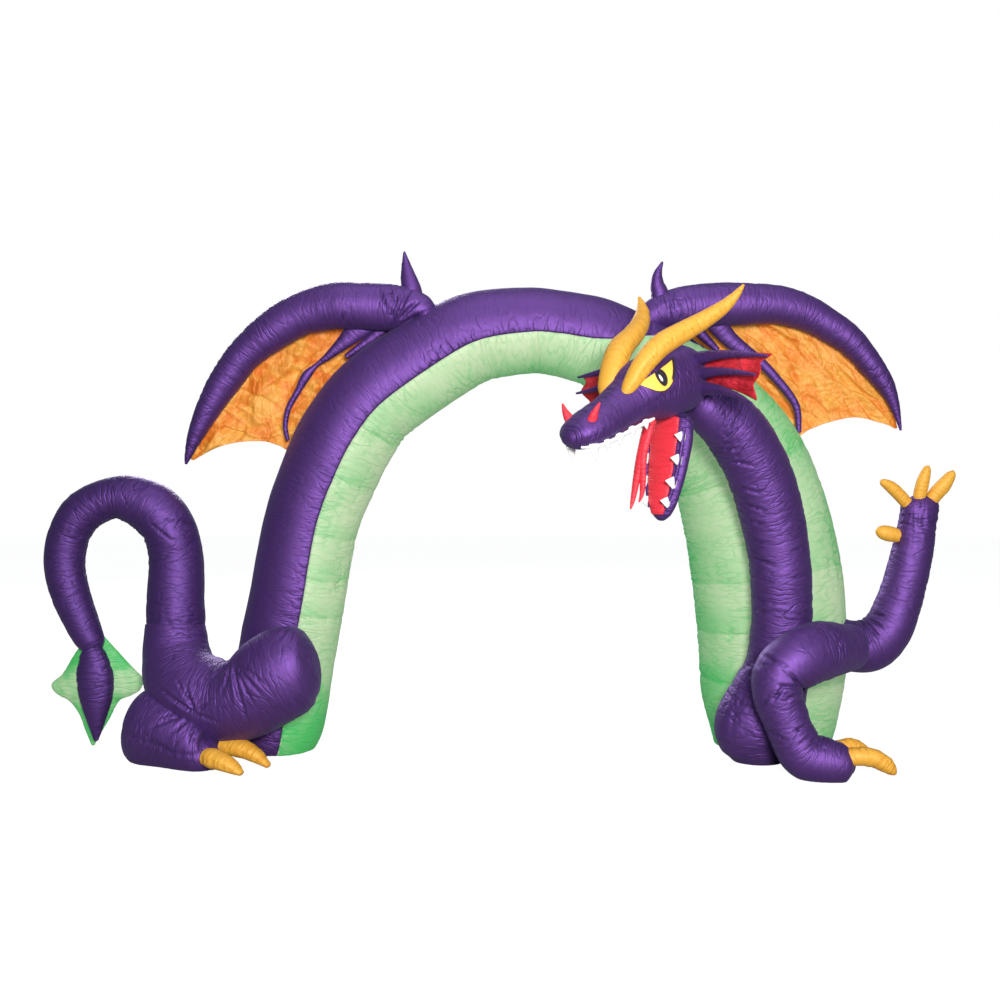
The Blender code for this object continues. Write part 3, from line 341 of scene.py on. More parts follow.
def taffeta_group():
    """Fine crinkles across the tube, the weave, and painted shade along the crinkles."""
    tree = bpy.data.node_groups.new("taffeta", "ShaderNodeTree")
    for label, way, kind in (("Colour", "INPUT", "Color"), ("Deep", "INPUT", "Color"),
                             ("Height", "OUTPUT", "Float"), ("Tint", "OUTPUT", "Color"),
                             ("Roughness", "OUTPUT", "Float")):
        tree.interface.new_socket(label, in_out=way, socket_type="NodeSocket" + kind)
    asked = node(tree, "NodeGroupInput").outputs
    flat = node(tree, "ShaderNodeUVMap", uv_map="cloth").outputs["UV"]
    creased = node(tree, "ShaderNodeAttribute", attribute_name="creased").outputs["Fac"]
    deep = node(tree, "ShaderNodeAttribute", attribute_name="deep").outputs["Fac"]

    def pattern(lengthwise, crosswise, rough, detail=2.0):
        """Noise on the flat cloth, with so many waves in a metre each way."""
        spread = node(tree, "ShaderNodeMapping",
                      {"Vector": flat, "Scale": (lengthwise, crosswise, 1.0)}).outputs["Vector"]
        return node(tree, "ShaderNodeTexNoise",
                    {"Vector": spread, "Scale": 1.0, "Detail": detail, "Roughness": rough,
                     "Distortion": 0.25}).outputs["Fac"]

    def worked(operation, *values):
        sum_of = node(tree, "ShaderNodeMath", dict(enumerate(values)), operation=operation)
        return sum_of.outputs[0]

    def plus(one, two):
        return worked("ADD", one, two)

    def less(one, two):
        return worked("SUBTRACT", one, two)

    def times(one, two):
        return worked("MULTIPLY", one, two)

    def crests(waves):
        return worked("ABSOLUTE", less(waves, 0.5))

    patches = pattern(6.0, 6.0, 0.55)
    folds = crests(pattern(36.0, 13.0, 0.5))
    lines = crests(pattern(26.0, 8.0, 0.4, 1.0))
    slant = pattern(150.0, 40.0, 0.5)
    weave = pattern(420.0, 240.0, 0.6, 3.0)
    fine = crests(slant)
    patchy = node(tree, "ShaderNodeMapRange",
                  {"Value": patches, "From Min": 0.40, "From Max": 0.68}).outputs["Result"]
    amount = plus(creased, plus(times(patchy, 0.30), 0.06))
    thin = node(tree, "ShaderNodeMapRange",
                {"Value": lines, "From Min": 0.0, "From Max": 0.085, "To Min": 1.0, "To Max": 0.0},
                interpolation_type="SMOOTHSTEP").outputs["Result"]
    relief = less(plus(times(folds, 0.009), times(fine, 0.0035)), times(thin, 0.0032))
    height = plus(times(relief, amount), times(weave, 0.0009))
    # Painted shade: the colour is drawn toward the deep one along the crinkles, in thin crease
    # lines and by the deep attribute; the weave adds a real grain.
    shade = plus(times(plus(folds, fine), amount), times(less(weave, 0.5), 0.5))
    shade = plus(plus(shade, times(times(thin, amount), 0.32)), deep)
    shade.node.use_clamp = True
    tint = node(tree, "ShaderNodeMix", {"Factor": shade, "A": asked["Colour"], "B": asked["Deep"]},
                data_type="RGBA").outputs["Result"]
    node(tree, "NodeGroupOutput",
         {"Height": height, "Tint": tint, "Roughness": plus(times(slant, 0.12), 0.49)})
    return tree


TAFFETA = taffeta_group()


def nylon(name, colour, deep, satin=0.6, bump=1.0, glow=0.0, sheen=0.0):
    """Satin is how much the cloth shines in its own colour, deep the colour that painted shade
    draws it toward, and glow is painted light, an emission standing in for daylight through the
    cloth.
    """
    material = bpy.data.materials.new(name)
    material.use_nodes = True
    tree = material.node_tree
    cloth = node(tree, "ShaderNodeGroup", node_tree=TAFFETA)
    plug(tree, cloth, {"Colour": (*colour, 1), "Deep": (*deep, 1)})
    raised = node(tree, "ShaderNodeBump",
                  {"Strength": bump, "Distance": 1.0, "Height": cloth.outputs["Height"]})
    plug(tree, tree.nodes["Principled BSDF"], {
        "Base Color": cloth.outputs["Tint"], "Emission Color": cloth.outputs["Tint"],
        "Roughness": cloth.outputs["Roughness"], "Normal": raised.outputs["Normal"],
        "Metallic": satin, "Emission Strength": glow, "Sheen Weight": sheen,
        "Sheen Tint": (0.62, 0.66, 0.90, 1)})
    return material


def kept(piece, cad_node):
    """The piece in place of its solid, which is hidden."""
    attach(piece, "root")
    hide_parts(cad_node)
    return piece


PURPLE = nylon("purple_taffeta", (0.112, 0.045, 0.226), (0.036, 0.016, 0.100), satin=0.78,
               sheen=0.05)
# The green glows strongly: painted light standing in for daylight through the cloth.
GREEN = nylon("green_taffeta", (0.285, 0.357, 0.226), (0.036, 0.262, 0.066), satin=0.05, glow=0.75)

back_way = way_of(3, lump=0.005, crinkle_and_shade=0.12, pucker=0.006, sunk=0.003, fold=0.02)
belly_way = dict(back_way, crinkle_and_shade=0.55, reach=0.07)
kept(half_tube("belly_of_the_arch", 64, False, belly_way, GREEN), "arch_belly")
kept(half_tube("back_of_the_arch", 76, True, back_way, PURPLE), "arch_back")

# ---- Hindquarters ----
# The hips, haunches and feet are short filled bags of purple taffeta, sewn to the arch's left leg
# and to each other. Each foot has two stuffed yellow claws sewn to its end.

# x, y, z, half width, half depth
RUMP = [
    (-1.15, 0.02, 0.2, 0.1, 0.12), (-1.25, 0.02, 0.18, 0.2, 0.2), (-1.4, 0.02, 0.18, 0.24, 0.23),
    (-1.55, 0.01, 0.22, 0.25, 0.26), (-1.68, 0, 0.28, 0.19, 0.2), (-1.76, 0, 0.33, 0.08, 0.08),
]
HAUNCH = [
    (-1.641, -0.085, 0.645, 0.15, 0.146), (-1.64, -0.095, 0.6, 0.157, 0.152),
    (-1.628, -0.13, 0.5, 0.172, 0.162), (-1.588, -0.19, 0.4, 0.194, 0.178),
    (-1.5, -0.245, 0.325, 0.206, 0.19), (-1.36, -0.29, 0.29, 0.205, 0.19),
    (-1.22, -0.33, 0.335, 0.205, 0.19), (-1.1, -0.36, 0.42, 0.222, 0.195),
    (-1.02, -0.37, 0.465, 0.22, 0.19), (-0.96, -0.374, 0.487, 0.198, 0.172),
    (-0.918, -0.377, 0.497, 0.152, 0.132), (-0.893, -0.38, 0.503, 0.085, 0.075),
]
HAUNCH_FAR = [
    (-1.72, 0.16, 0.3, 0.06, 0.06), (-1.7, 0.18, 0.29, 0.14, 0.13),
    (-1.62, 0.21, 0.24, 0.185, 0.17), (-1.5, 0.25, 0.21, 0.195, 0.18),
    (-1.37, 0.29, 0.21, 0.195, 0.18), (-1.25, 0.33, 0.27, 0.195, 0.18),
    (-1.15, 0.36, 0.36, 0.205, 0.185), (-1.09, 0.37, 0.4, 0.205, 0.18),
    (-1.02, 0.375, 0.43, 0.175, 0.15), (-0.97, 0.38, 0.44, 0.09, 0.08),
]
HIND_FOOT = [
    (-1.82, -0.2, 0.18, 0.07, 0.09), (-1.78, -0.22, 0.17, 0.15, 0.185),
    (-1.69, -0.26, 0.15, 0.175, 0.205), (-1.56, -0.33, 0.12, 0.155, 0.175),
    (-1.46, -0.39, 0.09, 0.13, 0.145), (-1.4, -0.42, 0.09, 0.1, 0.112),
    (-1.38, -0.43, 0.1, 0.05, 0.05),
]
HIND_TOES = {
    "outer": [
        (-1.4, -0.49, 0.075, 0.046, 0.042), (-1.36, -0.515, 0.072, 0.056, 0.049),
        (-1.31, -0.54, 0.06, 0.056, 0.046), (-1.26, -0.56, 0.04, 0.044, 0.034),
        (-1.215, -0.58, 0.018, 0.02, 0.014),
    ],
    "inner": [
        (-1.35, -0.375, 0.095, 0.045, 0.04), (-1.29, -0.39, 0.093, 0.052, 0.045),
        (-1.23, -0.41, 0.086, 0.052, 0.043), (-1.17, -0.435, 0.062, 0.042, 0.034),
        (-1.11, -0.46, 0.022, 0.018, 0.014),
    ],
}
# Creases, where the cloth gathers at the hip and the knee:
# x and z of either end, depth, width
HAUNCH_CREASES = [
    (-1.273, 0.517, -1.235, 0.313, 0.01, 0.008), (-1.268, 0.517, -1.202, 0.261, 0.012, 0.008),
    (-1.264, 0.522, -1.164, 0.337, 0.009, 0.007), (-1.254, 0.517, -1.126, 0.384, 0.009, 0.008),
    (-1.244, 0.531, -1.097, 0.427, 0.007, 0.007), (-1.287, 0.517, -1.321, 0.384, 0.008, 0.008),
    (-1.301, 0.498, -1.397, 0.432, 0.007, 0.008), (-1.321, 0.512, -1.415, 0.498, 0.006, 0.007),
    (-1.472, 0.28, -1.672, 0.394, 0.009, 0.01), (-1.472, 0.289, -1.591, 0.337, 0.008, 0.007),
    (-1.463, 0.289, -1.515, 0.403, 0.01, 0.008), (-1.454, 0.284, -1.397, 0.332, 0.008, 0.007),
    (-1.454, 0.27, -1.339, 0.237, 0.005, 0.009), (-1.482, 0.318, -1.558, 0.422, 0.006, 0.007),
    (-0.985, 0.705, -1.004, 0.615, 0.012, 0.009), (-1.004, 0.69, -1.06, 0.628, 0.007, 0.007),
    (-0.96, 0.688, -0.925, 0.645, 0.007, 0.007),
]
FOOT_CREASES = [
    (-1.466, 0.284, -1.687, 0.204, 0.012, 0.009), (-1.476, 0.289, -1.645, 0.246, 0.01, 0.008),
    (-1.476, 0.279, -1.654, 0.317, 0.008, 0.008), (-1.462, 0.27, -1.57, 0.185, 0.008, 0.008),
    (-1.448, 0.265, -1.485, 0.152, 0.007, 0.008), (-1.429, 0.256, -1.382, 0.148, 0.007, 0.008),
]


def creased_by_hand(x, z, creases):
    """Soft valleys from place to place as seen from the front, with a low crest on either side."""
    off, crinkle_and_shade = 0.0, 0.0
    for x0, z0, x1, z1, depth, width in creases:
        dx, dz = x1 - x0, z1 - z0
        long = dx * dx + dz * dz
        share = ((x - x0) * dx + (z - z0) * dz) / long
        if -0.15 < share < 1.15:
            away = abs((z - z0) * dx - (x - x0) * dz) / math.sqrt(long)
            if away < 3.2 * width:
                fade = min(1.0, max(0.0, (share + 0.15) / 0.4)) * min(1.0, (1.15 - share) / 0.5)
                near = math.exp(-((away / width) ** 2))
                shoulder = math.exp(-(((away - 1.7 * width) / width) ** 2))
                off += fade * depth * (0.35 * shoulder - near)
                # how near a crease is: it deepens the relief and the painted shade there
                crinkle_and_shade = max(crinkle_and_shade, fade * near)
    return off, crinkle_and_shade


def blown(name, rows, cloth, way, face=FRONT, step=0.009, girth=0.010, lengthwise=(90, -90),
          crosswise=(), creases=(), place=None, domed=0.25, tone_of=0.0, level=False):
    """A filled tube. Seams lengthwise are angles from the facing side, those crosswise are places
    in the table, and creases are as seen from the front. Its colour is painted deeper by tone_of,
    from 0 to 1, as painted shade, and the cuts of a flat piece may all be level."""
    path = Path(rows, step, face, place, level)
    columns = max(12, round(max(math.pi * (row[3] + row[4]) for row in rows) / girth))
    mid = 0.5 * max(row[3] + row[4] for row in rows)
    rounds = []
    for seam in crosswise:
        first = min(int(seam), len(path.marks) - 2)
        length = path.marks[first + 1] - path.marks[first]
        rounds.append(path.marks[first] + length * (seam - first))
    corners = []
    for i, row in enumerate(path.rows):
        s, radius = path.run[i], 0.5 * (row[3] + row[4])
        across = [s - seam for seam in rounds]
        line = []
        for j in range(columns + 1):
            angle = 2 * math.pi * (j % columns) / columns - math.pi
            edges = []
            for seam in lengthwise:
                turn = abs((angle - math.radians(seam) + math.pi) % (2 * math.pi) - math.pi)
                edges.append(turn * radius)
            # the pattern runs on across the closing line, so that it shows no step
            t = mid * math.cos(angle) + 0.7 * (mid * math.sin(angle))
            off, creased = ruffle(s, t, path.inside(i, angle), edges, across, way)
            off *= min(1.0, radius / 0.06)
            frontward = -path.out(i, angle).y
            if creases and frontward > 0:
                bare = path.spot(i, angle)
                more, crinkle_and_shade = creased_by_hand(bare.x - MIDDLE.x, bare.z, creases)
                off += more * smooth(frontward, 0.0, 0.45)
                creased = max(creased, crinkle_and_shade)
            point = path.spot(i, angle, off)
            flat = (s, (2 * math.pi * j / columns - math.pi) * radius)
            line.append([point, creased, flat, tone_of(point) if callable(tone_of) else tone_of])
        corners.append(line)
    caps = []
    for which, way_out in ((0, -1), (-1, 1)):
        ring = corners[which]
        heart = sum((spot[0] for spot in ring[:-1]), Vector()) / columns
        ahead = path.frames[which][2] * way_out
        radius = 0.5 * (path.rows[which][3] + path.rows[which][4])
        count = max(2, min(8, round(radius / 0.008)))
        turns = [0.5 * math.pi * k / count for k in range(1, count + 1)]
        caps.append(end_cap(ring, heart, [(math.cos(turn), ahead * domed * radius * math.sin(turn))
                                          for turn in turns]))
    corners = caps[0][::-1] + corners + caps[1]
    above_ground(corners)
    return sewn(name, laid_out(corners)[0], cloth)


def filled(name, rows, cloth, way, fill=0.9, **shape):
    """A filled tube in place of the solid of its name."""
    return kept(blown(name, rows, cloth, way, **shape), name)


def mirrored(rows):
    """The same piece on the far side."""
    return [(row[0], -row[1], *row[2:]) for row in rows]


# The yellow glows a little: painted light standing in for daylight through the cloth.
YELLOW = nylon("yellow_taffeta", (0.61, 0.31, 0.032), (0.56, 0.19, 0.006), satin=0.08, glow=0.12)

rump_way = way_of(11, lump=0.004, crinkle_and_shade=0.25, pucker=0.006, sunk=0.004)
filled("rump", RUMP, PURPLE, rump_way, face=UP, step=0.014, girth=0.016)
haunch_way = way_of(21, lump=0.007, crinkle_and_shade=0.32, fold=0.004)
filled("haunch_near", HAUNCH, PURPLE, haunch_way, lengthwise=(165, -165), creases=HAUNCH_CREASES,
       step=0.0075, girth=0.0085, domed=0.08)
filled("haunch_far", HAUNCH_FAR, PURPLE, dict(haunch_way, seed=24), step=0.012, girth=0.013)
for which, turned, creases in (("near", list, FOOT_CREASES), ("far", mirrored, ())):
    foot_way = way_of(31 + len(which), lump=0.006, crinkle_and_shade=0.45, pucker=0.005, sunk=0.004, fold=0.012)
    filled("hind_foot_" + which, turned(HIND_FOOT), PURPLE, foot_way, face=UP, creases=creases,
           step=0.0085, girth=0.0095)
    for number, (toe_name, rows) in enumerate(HIND_TOES.items()):
        toe_way = way_of(41 + number, lump=0.013, crinkle_and_shade=0.9, reach=0.03, pucker=0.011)
        filled("hind_toe_" + toe_name + "_" + which, turned(rows), YELLOW, toe_way, 0.7, face=UP,
               step=0.005, girth=0.006)

# ---- Tail ----
# One long purple tube of taffeta that rises from the near haunch and hangs down in a hook, sewn
# from three lengths. A purple spindle and a flat filled green fin are sewn to its tip.
TAIL = [
    (-1.64, -0.09, 0.57, 0.1, 0.1), (-1.641, -0.088, 0.61, 0.13, 0.128),
    (-1.641, -0.085, 0.66, 0.148, 0.144), (-1.642, -0.08, 0.77, 0.144, 0.14),
    (-1.64, -0.07, 0.98, 0.136, 0.134), (-1.672, -0.08, 1.13, 0.135, 0.134),
    (-1.752, -0.08, 1.232, 0.134, 0.13), (-1.862, -0.08, 1.284, 0.12, 0.118),
    (-1.965, -0.08, 1.285, 0.106, 0.11), (-2.09, -0.08, 1.225, 0.108, 0.108),
    (-2.17, -0.08, 1.112, 0.103, 0.103), (-2.2, -0.08, 0.96, 0.101, 0.1),
    (-2.173, -0.08, 0.8, 0.096, 0.095), (-2.115, -0.08, 0.65, 0.084, 0.084),
    (-2.07, -0.08, 0.55, 0.068, 0.068), (-2.055, -0.08, 0.5, 0.03, 0.03),
]
TAIL_CREASES = [
    (-1.74, 0.678, -1.568, 0.589, 0.01, 0.008), (-1.558, 0.589, -1.459, 0.678, 0.01, 0.008),
    (-1.686, 0.663, -1.558, 0.609, 0.007, 0.006), (-1.73, 0.624, -1.622, 0.579, 0.007, 0.007),
    (-1.543, 0.594, -1.449, 0.634, 0.006, 0.006), (-1.587, 1.186, -1.489, 1.112, 0.006, 0.007),
    (-1.726, 1.166, -1.627, 1.087, 0.006, 0.007), (-1.676, 1.196, -1.548, 1.171, 0.005, 0.006),
]
SPINDLE = [
    (-2.066, -0.095, 0.55, 0.03, 0.03), (-2.06, -0.1, 0.5, 0.066, 0.05),
    (-2.05, -0.105, 0.4, 0.092, 0.062), (-2.046, -0.105, 0.3, 0.088, 0.06),
    (-2.046, -0.105, 0.19, 0.058, 0.045), (-2.048, -0.105, 0.06, 0.012, 0.012),
]
# z, left edge, right edge, half depth
FIN = [
    (0.585, -2.085, -2.015, 0.006), (0.507, -2.16, -1.946, 0.032), (0.43, -2.205, -1.875, 0.042),
    (0.382, -2.238, -1.828, 0.045), (0.352, -2.276, -1.816, 0.045), (0.33, -2.286, -1.82, 0.044),
    (0.303, -2.276, -1.838, 0.042), (0.277, -2.243, -1.885, 0.039), (0.257, -2.205, -1.935, 0.036),
    (0.224, -2.173, -1.96, 0.033), (0.172, -2.143, -1.986, 0.029), (0.1, -2.118, -2.03, 0.02),
    (0.024, -2.088, -2.072, 0.006),
]
FIN_BACK = -0.055  # y of its middle
PALE_BAND = (0.330, 0.055)  # of the fin, where it is painted palest: its height and half its width
TAIL_PAINTED_SHADE = 0.28  # painted shade: how much darker the tail's purple is painted


def fin_tone(point):
    """Painted shade: pale across the widest part of the fin, deep green above and below it."""
    away = abs(point.z - PALE_BAND[0]) + 0.06 * noise.noise(point * 14.0)
    streak = 0.25 * noise.noise(Vector((point.x * 30, point.z * 9, 5)))
    return 0.30 + 0.60 * smooth(away, 0.4 * PALE_BAND[1], 2.4 * PALE_BAND[1]) + streak


tail_way = way_of(51, lump=0.004, crinkle_and_shade=0.45, reach=0.06, pucker=0.0035, fold=0.016)
filled("tail", TAIL, PURPLE, tail_way, crosswise=(2.2, 10.0), creases=TAIL_CREASES, step=0.0085,
       girth=0.009, tone_of=TAIL_PAINTED_SHADE)
filled("tail_spindle", SPINDLE, PURPLE, way_of(53, pucker=0.005), lengthwise=(75, -75), step=0.006,
       girth=0.007, tone_of=TAIL_PAINTED_SHADE)
fin_rows = []
for z, left, right, deep in FIN:
    fin_rows.append(((left + right) / 2, FIN_BACK, z, (right - left) / 2, deep))
fin_way = way_of(55, crinkle_and_shade=0.7, reach=0.04, pucker=0.0025, sunk=0.001)
filled("tail_fin", fin_rows, GREEN, fin_way, 0.6, step=0.007, girth=0.008, tone_of=fin_tone,
       level=True)

# ---- Neck ----
# One purple tube of taffeta that stands on the ground beside the arch's right leg and curves over
# to the head. It is sewn from four lengths, and its cloth gathers deeply on the inside of the bend.
NECK = [
    (1.276, -0.265, 0, 0.125, 0.112), (1.276, -0.265, 0.045, 0.17, 0.145),
    (1.273, -0.268, 0.11, 0.203, 0.166), (1.276, -0.28, 0.19, 0.215, 0.175),
    (1.32, -0.29, 0.33, 0.185, 0.165), (1.362, -0.3, 0.47, 0.16, 0.152),
    (1.375, -0.31, 0.64, 0.15, 0.15), (1.374, -0.32, 0.81, 0.148, 0.148),
    (1.35, -0.33, 1.05, 0.15, 0.15), (1.295, -0.35, 1.29, 0.156, 0.155),
    (1.21, -0.39, 1.49, 0.156, 0.155), (1.11, -0.44, 1.635, 0.148, 0.148),
    (1.01, -0.49, 1.715, 0.13, 0.13), (0.93, -0.53, 1.765, 0.105, 0.105),
    (0.89, -0.55, 1.79, 0.05, 0.05),
]
NECK_CREASES = [
    (1.126, 1.358, 1.221, 1.334, 0.01, 0.008), (1.145, 1.282, 1.249, 1.249, 0.01, 0.008),
    (1.168, 1.201, 1.254, 1.182, 0.009, 0.008), (1.183, 1.106, 1.282, 1.092, 0.008, 0.008),
    (1.197, 1.025, 1.306, 0.983, 0.009, 0.009), (1.202, 0.93, 1.292, 0.902, 0.007, 0.008),
    (1.202, 0.821, 1.377, 0.793, 0.008, 0.007), (1.202, 0.764, 1.306, 0.745, 0.007, 0.007),
    (1.078, 1.477, 1.178, 1.467, 0.009, 0.008), (1.031, 1.534, 1.116, 1.543, 0.009, 0.008),
    (1.449, 1.082, 1.377, 1.049, 0.006, 0.008), (1.468, 0.94, 1.368, 0.926, 0.006, 0.007),
    (1.206, 0.769, 1.463, 0.75, 0.008, 0.006), (1.145, 0.394, 1.116, 0.147, 0.006, 0.005),
    (1.164, 0.451, 1.221, 0.498, 0.008, 0.008),
]
neck_way = way_of(61, lump=0.005, crinkle_and_shade=0.6, reach=0.07, pucker=0.006, sunk=0.003)
filled("neck", NECK, PURPLE, neck_way, lengthwise=(95, -95), crosswise=(3.6, 4.6, 11.6),
       creases=NECK_CREASES, step=0.009, girth=0.0095)

# ---- Fore leg ----
# A purple tube of taffeta, sewn on in front of the arch at its elbow: it bends down to the ground
# and forward to a foot, which has two stuffed yellow claws sewn to it.
FORE_LEG = [
    (1.745, -0.36, 0.585, 0.05, 0.05), (1.718, -0.37, 0.585, 0.105, 0.105),
    (1.64, -0.41, 0.58, 0.122, 0.125), (1.525, -0.48, 0.58, 0.142, 0.135),
    (1.41, -0.54, 0.55, 0.14, 0.135), (1.32, -0.56, 0.48, 0.132, 0.13),
    (1.308, -0.57, 0.38, 0.12, 0.122), (1.34, -0.58, 0.28, 0.112, 0.115),
    (1.375, -0.59, 0.19, 0.11, 0.112), (1.425, -0.6, 0.115, 0.118, 0.112),
    (1.505, -0.61, 0.086, 0.116, 0.11), (1.575, -0.62, 0.076, 0.103, 0.102),
    (1.618, -0.62, 0.07, 0.082, 0.085), (1.645, -0.62, 0.066, 0.04, 0.042),
]
FORE_TOES = {
    "outer": [
        (1.6, -0.65, 0.108, 0.042, 0.045), (1.66, -0.66, 0.118, 0.045, 0.047),
        (1.725, -0.665, 0.112, 0.046, 0.047), (1.782, -0.67, 0.084, 0.041, 0.042),
        (1.815, -0.675, 0.054, 0.025, 0.027), (1.828, -0.675, 0.04, 0.01, 0.01),
    ],
    "inner": [
        (1.6, -0.53, 0.124, 0.04, 0.04), (1.66, -0.52, 0.132, 0.041, 0.04),
        (1.712, -0.512, 0.116, 0.037, 0.036), (1.752, -0.507, 0.084, 0.026, 0.026),
        (1.775, -0.503, 0.055, 0.011, 0.011),
    ],
}
LEG_CREASES = [
    (1.156, 0.604, 1.32, 0.544, 0.012, 0.01), (1.147, 0.563, 1.265, 0.508, 0.009, 0.008),
    (1.165, 0.626, 1.251, 0.594, 0.008, 0.008), (1.379, 0.444, 1.283, 0.453, 0.012, 0.009),
    (1.392, 0.422, 1.31, 0.385, 0.009, 0.008), (1.383, 0.453, 1.333, 0.517, 0.009, 0.008),
    (1.219, 0.235, 1.32, 0.199, 0.008, 0.008), (1.242, 0.171, 1.31, 0.185, 0.007, 0.007),
    (1.42, 0.271, 1.351, 0.24, 0.009, 0.008), (1.438, 0.226, 1.374, 0.18, 0.008, 0.008),
    (1.615, 0.672, 1.574, 0.617, 0.006, 0.008), (1.238, 0.399, 1.201, 0.326, 0.007, 0.008),
    (1.301, 0.444, 1.251, 0.376, 0.008, 0.009), (1.57, 0.726, 1.538, 0.672, 0.006, 0.007),
    (1.502, 0.763, 1.492, 0.699, 0.005, 0.007),
]
leg_way = way_of(71, lump=0.006, pucker=0.005, sunk=0.003, fold=0.016)
filled("fore_leg", FORE_LEG, PURPLE, leg_way, crosswise=(5.0,), creases=LEG_CREASES, step=0.0075,
       girth=0.008)
for number, (toe_name, rows) in enumerate(FORE_TOES.items()):
    toe_way = way_of(75 + number, lump=0.008, crinkle_and_shade=0.9, reach=0.03, pucker=0.007)
    filled("fore_toe_" + toe_name, rows, YELLOW, toe_way, 0.7, step=0.005, girth=0.006)

# ---- Raised arm ----
# A purple tube of taffeta, sewn to the right side of the arch: it goes out to an elbow and up to a
# hand, with three fingers and a thumb of stuffed yellow taffeta sewn round its end.
ARM = [
    (1.645, 0.02, 0.545, 0.08, 0.08), (1.705, 0.02, 0.545, 0.125, 0.12),
    (1.815, 0.02, 0.522, 0.134, 0.13), (1.915, 0.02, 0.534, 0.138, 0.132),
    (1.997, 0.02, 0.615, 0.126, 0.124), (2.05, 0.02, 0.74, 0.113, 0.113),
    (2.091, 0.02, 0.88, 0.107, 0.108), (2.119, 0.02, 1.01, 0.103, 0.104),
    (2.137, 0.02, 1.12, 0.098, 0.092), (2.147, 0.02, 1.2, 0.099, 0.083),
    (2.15, 0.02, 1.26, 0.093, 0.07), (2.147, 0.02, 1.29, 0.05, 0.04),
]
CLAWS = {
    "claw_left": [
        (2.095, 0.01, 1.24, 0.03, 0.03), (2.045, 0, 1.295, 0.032, 0.032),
        (1.995, -0.01, 1.34, 0.03, 0.03), (1.95, -0.02, 1.365, 0.02, 0.02),
        (1.935, -0.025, 1.37, 0.006, 0.006),
    ],
    "claw_middle": [
        (2.14, 0.01, 1.25, 0.032, 0.03), (2.145, 0, 1.31, 0.034, 0.032),
        (2.155, -0.01, 1.37, 0.033, 0.03), (2.17, -0.02, 1.43, 0.022, 0.02),
        (2.18, -0.02, 1.45, 0.006, 0.006),
    ],
    "claw_right": [
        (2.19, 0.01, 1.24, 0.032, 0.03), (2.22, 0, 1.3, 0.038, 0.034),
        (2.26, -0.01, 1.35, 0.037, 0.034), (2.295, -0.02, 1.405, 0.024, 0.022),
        (2.305, -0.02, 1.425, 0.006, 0.006),
    ],
    "thumb": [
        (2.045, 0.01, 1.09, 0.034, 0.034), (2, 0.005, 1.1, 0.041, 0.039),
        (1.958, 0, 1.11, 0.038, 0.036), (1.932, -0.002, 1.116, 0.024, 0.023),
        (1.922, -0.003, 1.118, 0.008, 0.008),
    ],
}
ARM_CREASES = [
    (1.842, 0.666, 1.872, 0.556, 0.01, 0.008), (1.847, 0.671, 1.913, 0.586, 0.01, 0.008),
    (1.852, 0.681, 1.948, 0.636, 0.009, 0.008), (1.837, 0.666, 1.817, 0.551, 0.009, 0.008),
    (1.827, 0.671, 1.767, 0.576, 0.007, 0.007), (1.862, 0.701, 1.968, 0.686, 0.007, 0.008),
    (2.008, 1.173, 2.098, 1.143, 0.008, 0.007), (1.998, 1.183, 2.083, 1.203, 0.007, 0.006),
    (1.978, 1.053, 2.058, 1.073, 0.006, 0.006), (1.973, 1.023, 2.053, 0.998, 0.005, 0.006),
    (2.033, 1.254, 2.068, 1.203, 0.006, 0.006), (2.139, 1.279, 2.128, 1.218, 0.005, 0.006),
]
arm_way = way_of(81, lump=0.005, crinkle_and_shade=0.25, pucker=0.005, sunk=0.003, fold=0.014)
filled("raised_arm", ARM, PURPLE, arm_way, crosswise=(8.6,), creases=ARM_CREASES, step=0.0075,
       girth=0.008)
for number, (claw_name, rows) in enumerate(CLAWS.items()):
    filled(claw_name, rows, YELLOW, way_of(85 + number, lump=0.004, crinkle_and_shade=0.8, reach=0.03), 0.8,
           step=0.005, girth=0.006)

# ---- Head and jaw ----
# A filled bag of purple taffeta, sewn to the end of the neck, with a thinner bag for the lower
# jaw, which hangs open. A flat red lining is sewn along the jaw's inner side.
HEAD_AT = Vector((0.900, -0.55, 1.797))
HEAD_TURN = math.radians(38)  # from the left toward the viewer
HEAD_DIP = math.radians(20)
NOSEWARD = Vector((-math.cos(HEAD_TURN) * math.cos(HEAD_DIP),
                   -math.sin(HEAD_TURN) * math.cos(HEAD_DIP), -math.sin(HEAD_DIP)))
NEARWARD = Vector((math.sin(HEAD_TURN), -math.cos(HEAD_TURN), 0))
HEAD = Matrix((NOSEWARD, NEARWARD, NOSEWARD.cross(NEARWARD))).transposed().to_4x4()
HEAD.translation = HEAD_AT + MIDDLE
JAW_OPEN = math.radians(59)
JAW_HINGE = Vector((0.155, 0, -0.075))
DOWN_JAW = Vector((math.cos(JAW_OPEN), 0, -math.sin(JAW_OPEN)))
INWARD = Vector((math.sin(JAW_OPEN), 0, math.cos(JAW_OPEN)))  # from the jaw into the mouth

# In the head's frame: toward the nose, toward the near side, toward the crown,
# then half width and half height
SKULL = [
    (-0.06, 0, 0.1, 0.05, 0.06), (-0.03, 0, 0.095, 0.11, 0.11), (0.05, 0, 0.1, 0.145, 0.155),
    (0.19, 0, 0.11, 0.158, 0.158), (0.32, 0, 0.12, 0.148, 0.14), (0.42, 0, 0.102, 0.122, 0.112),
    (0.53, 0, 0.082, 0.112, 0.096), (0.62, 0, 0.074, 0.116, 0.089), (0.7, 0, 0.07, 0.112, 0.079),
    (0.765, 0, 0.068, 0.088, 0.06), (0.798, 0, 0.067, 0.04, 0.028),
]
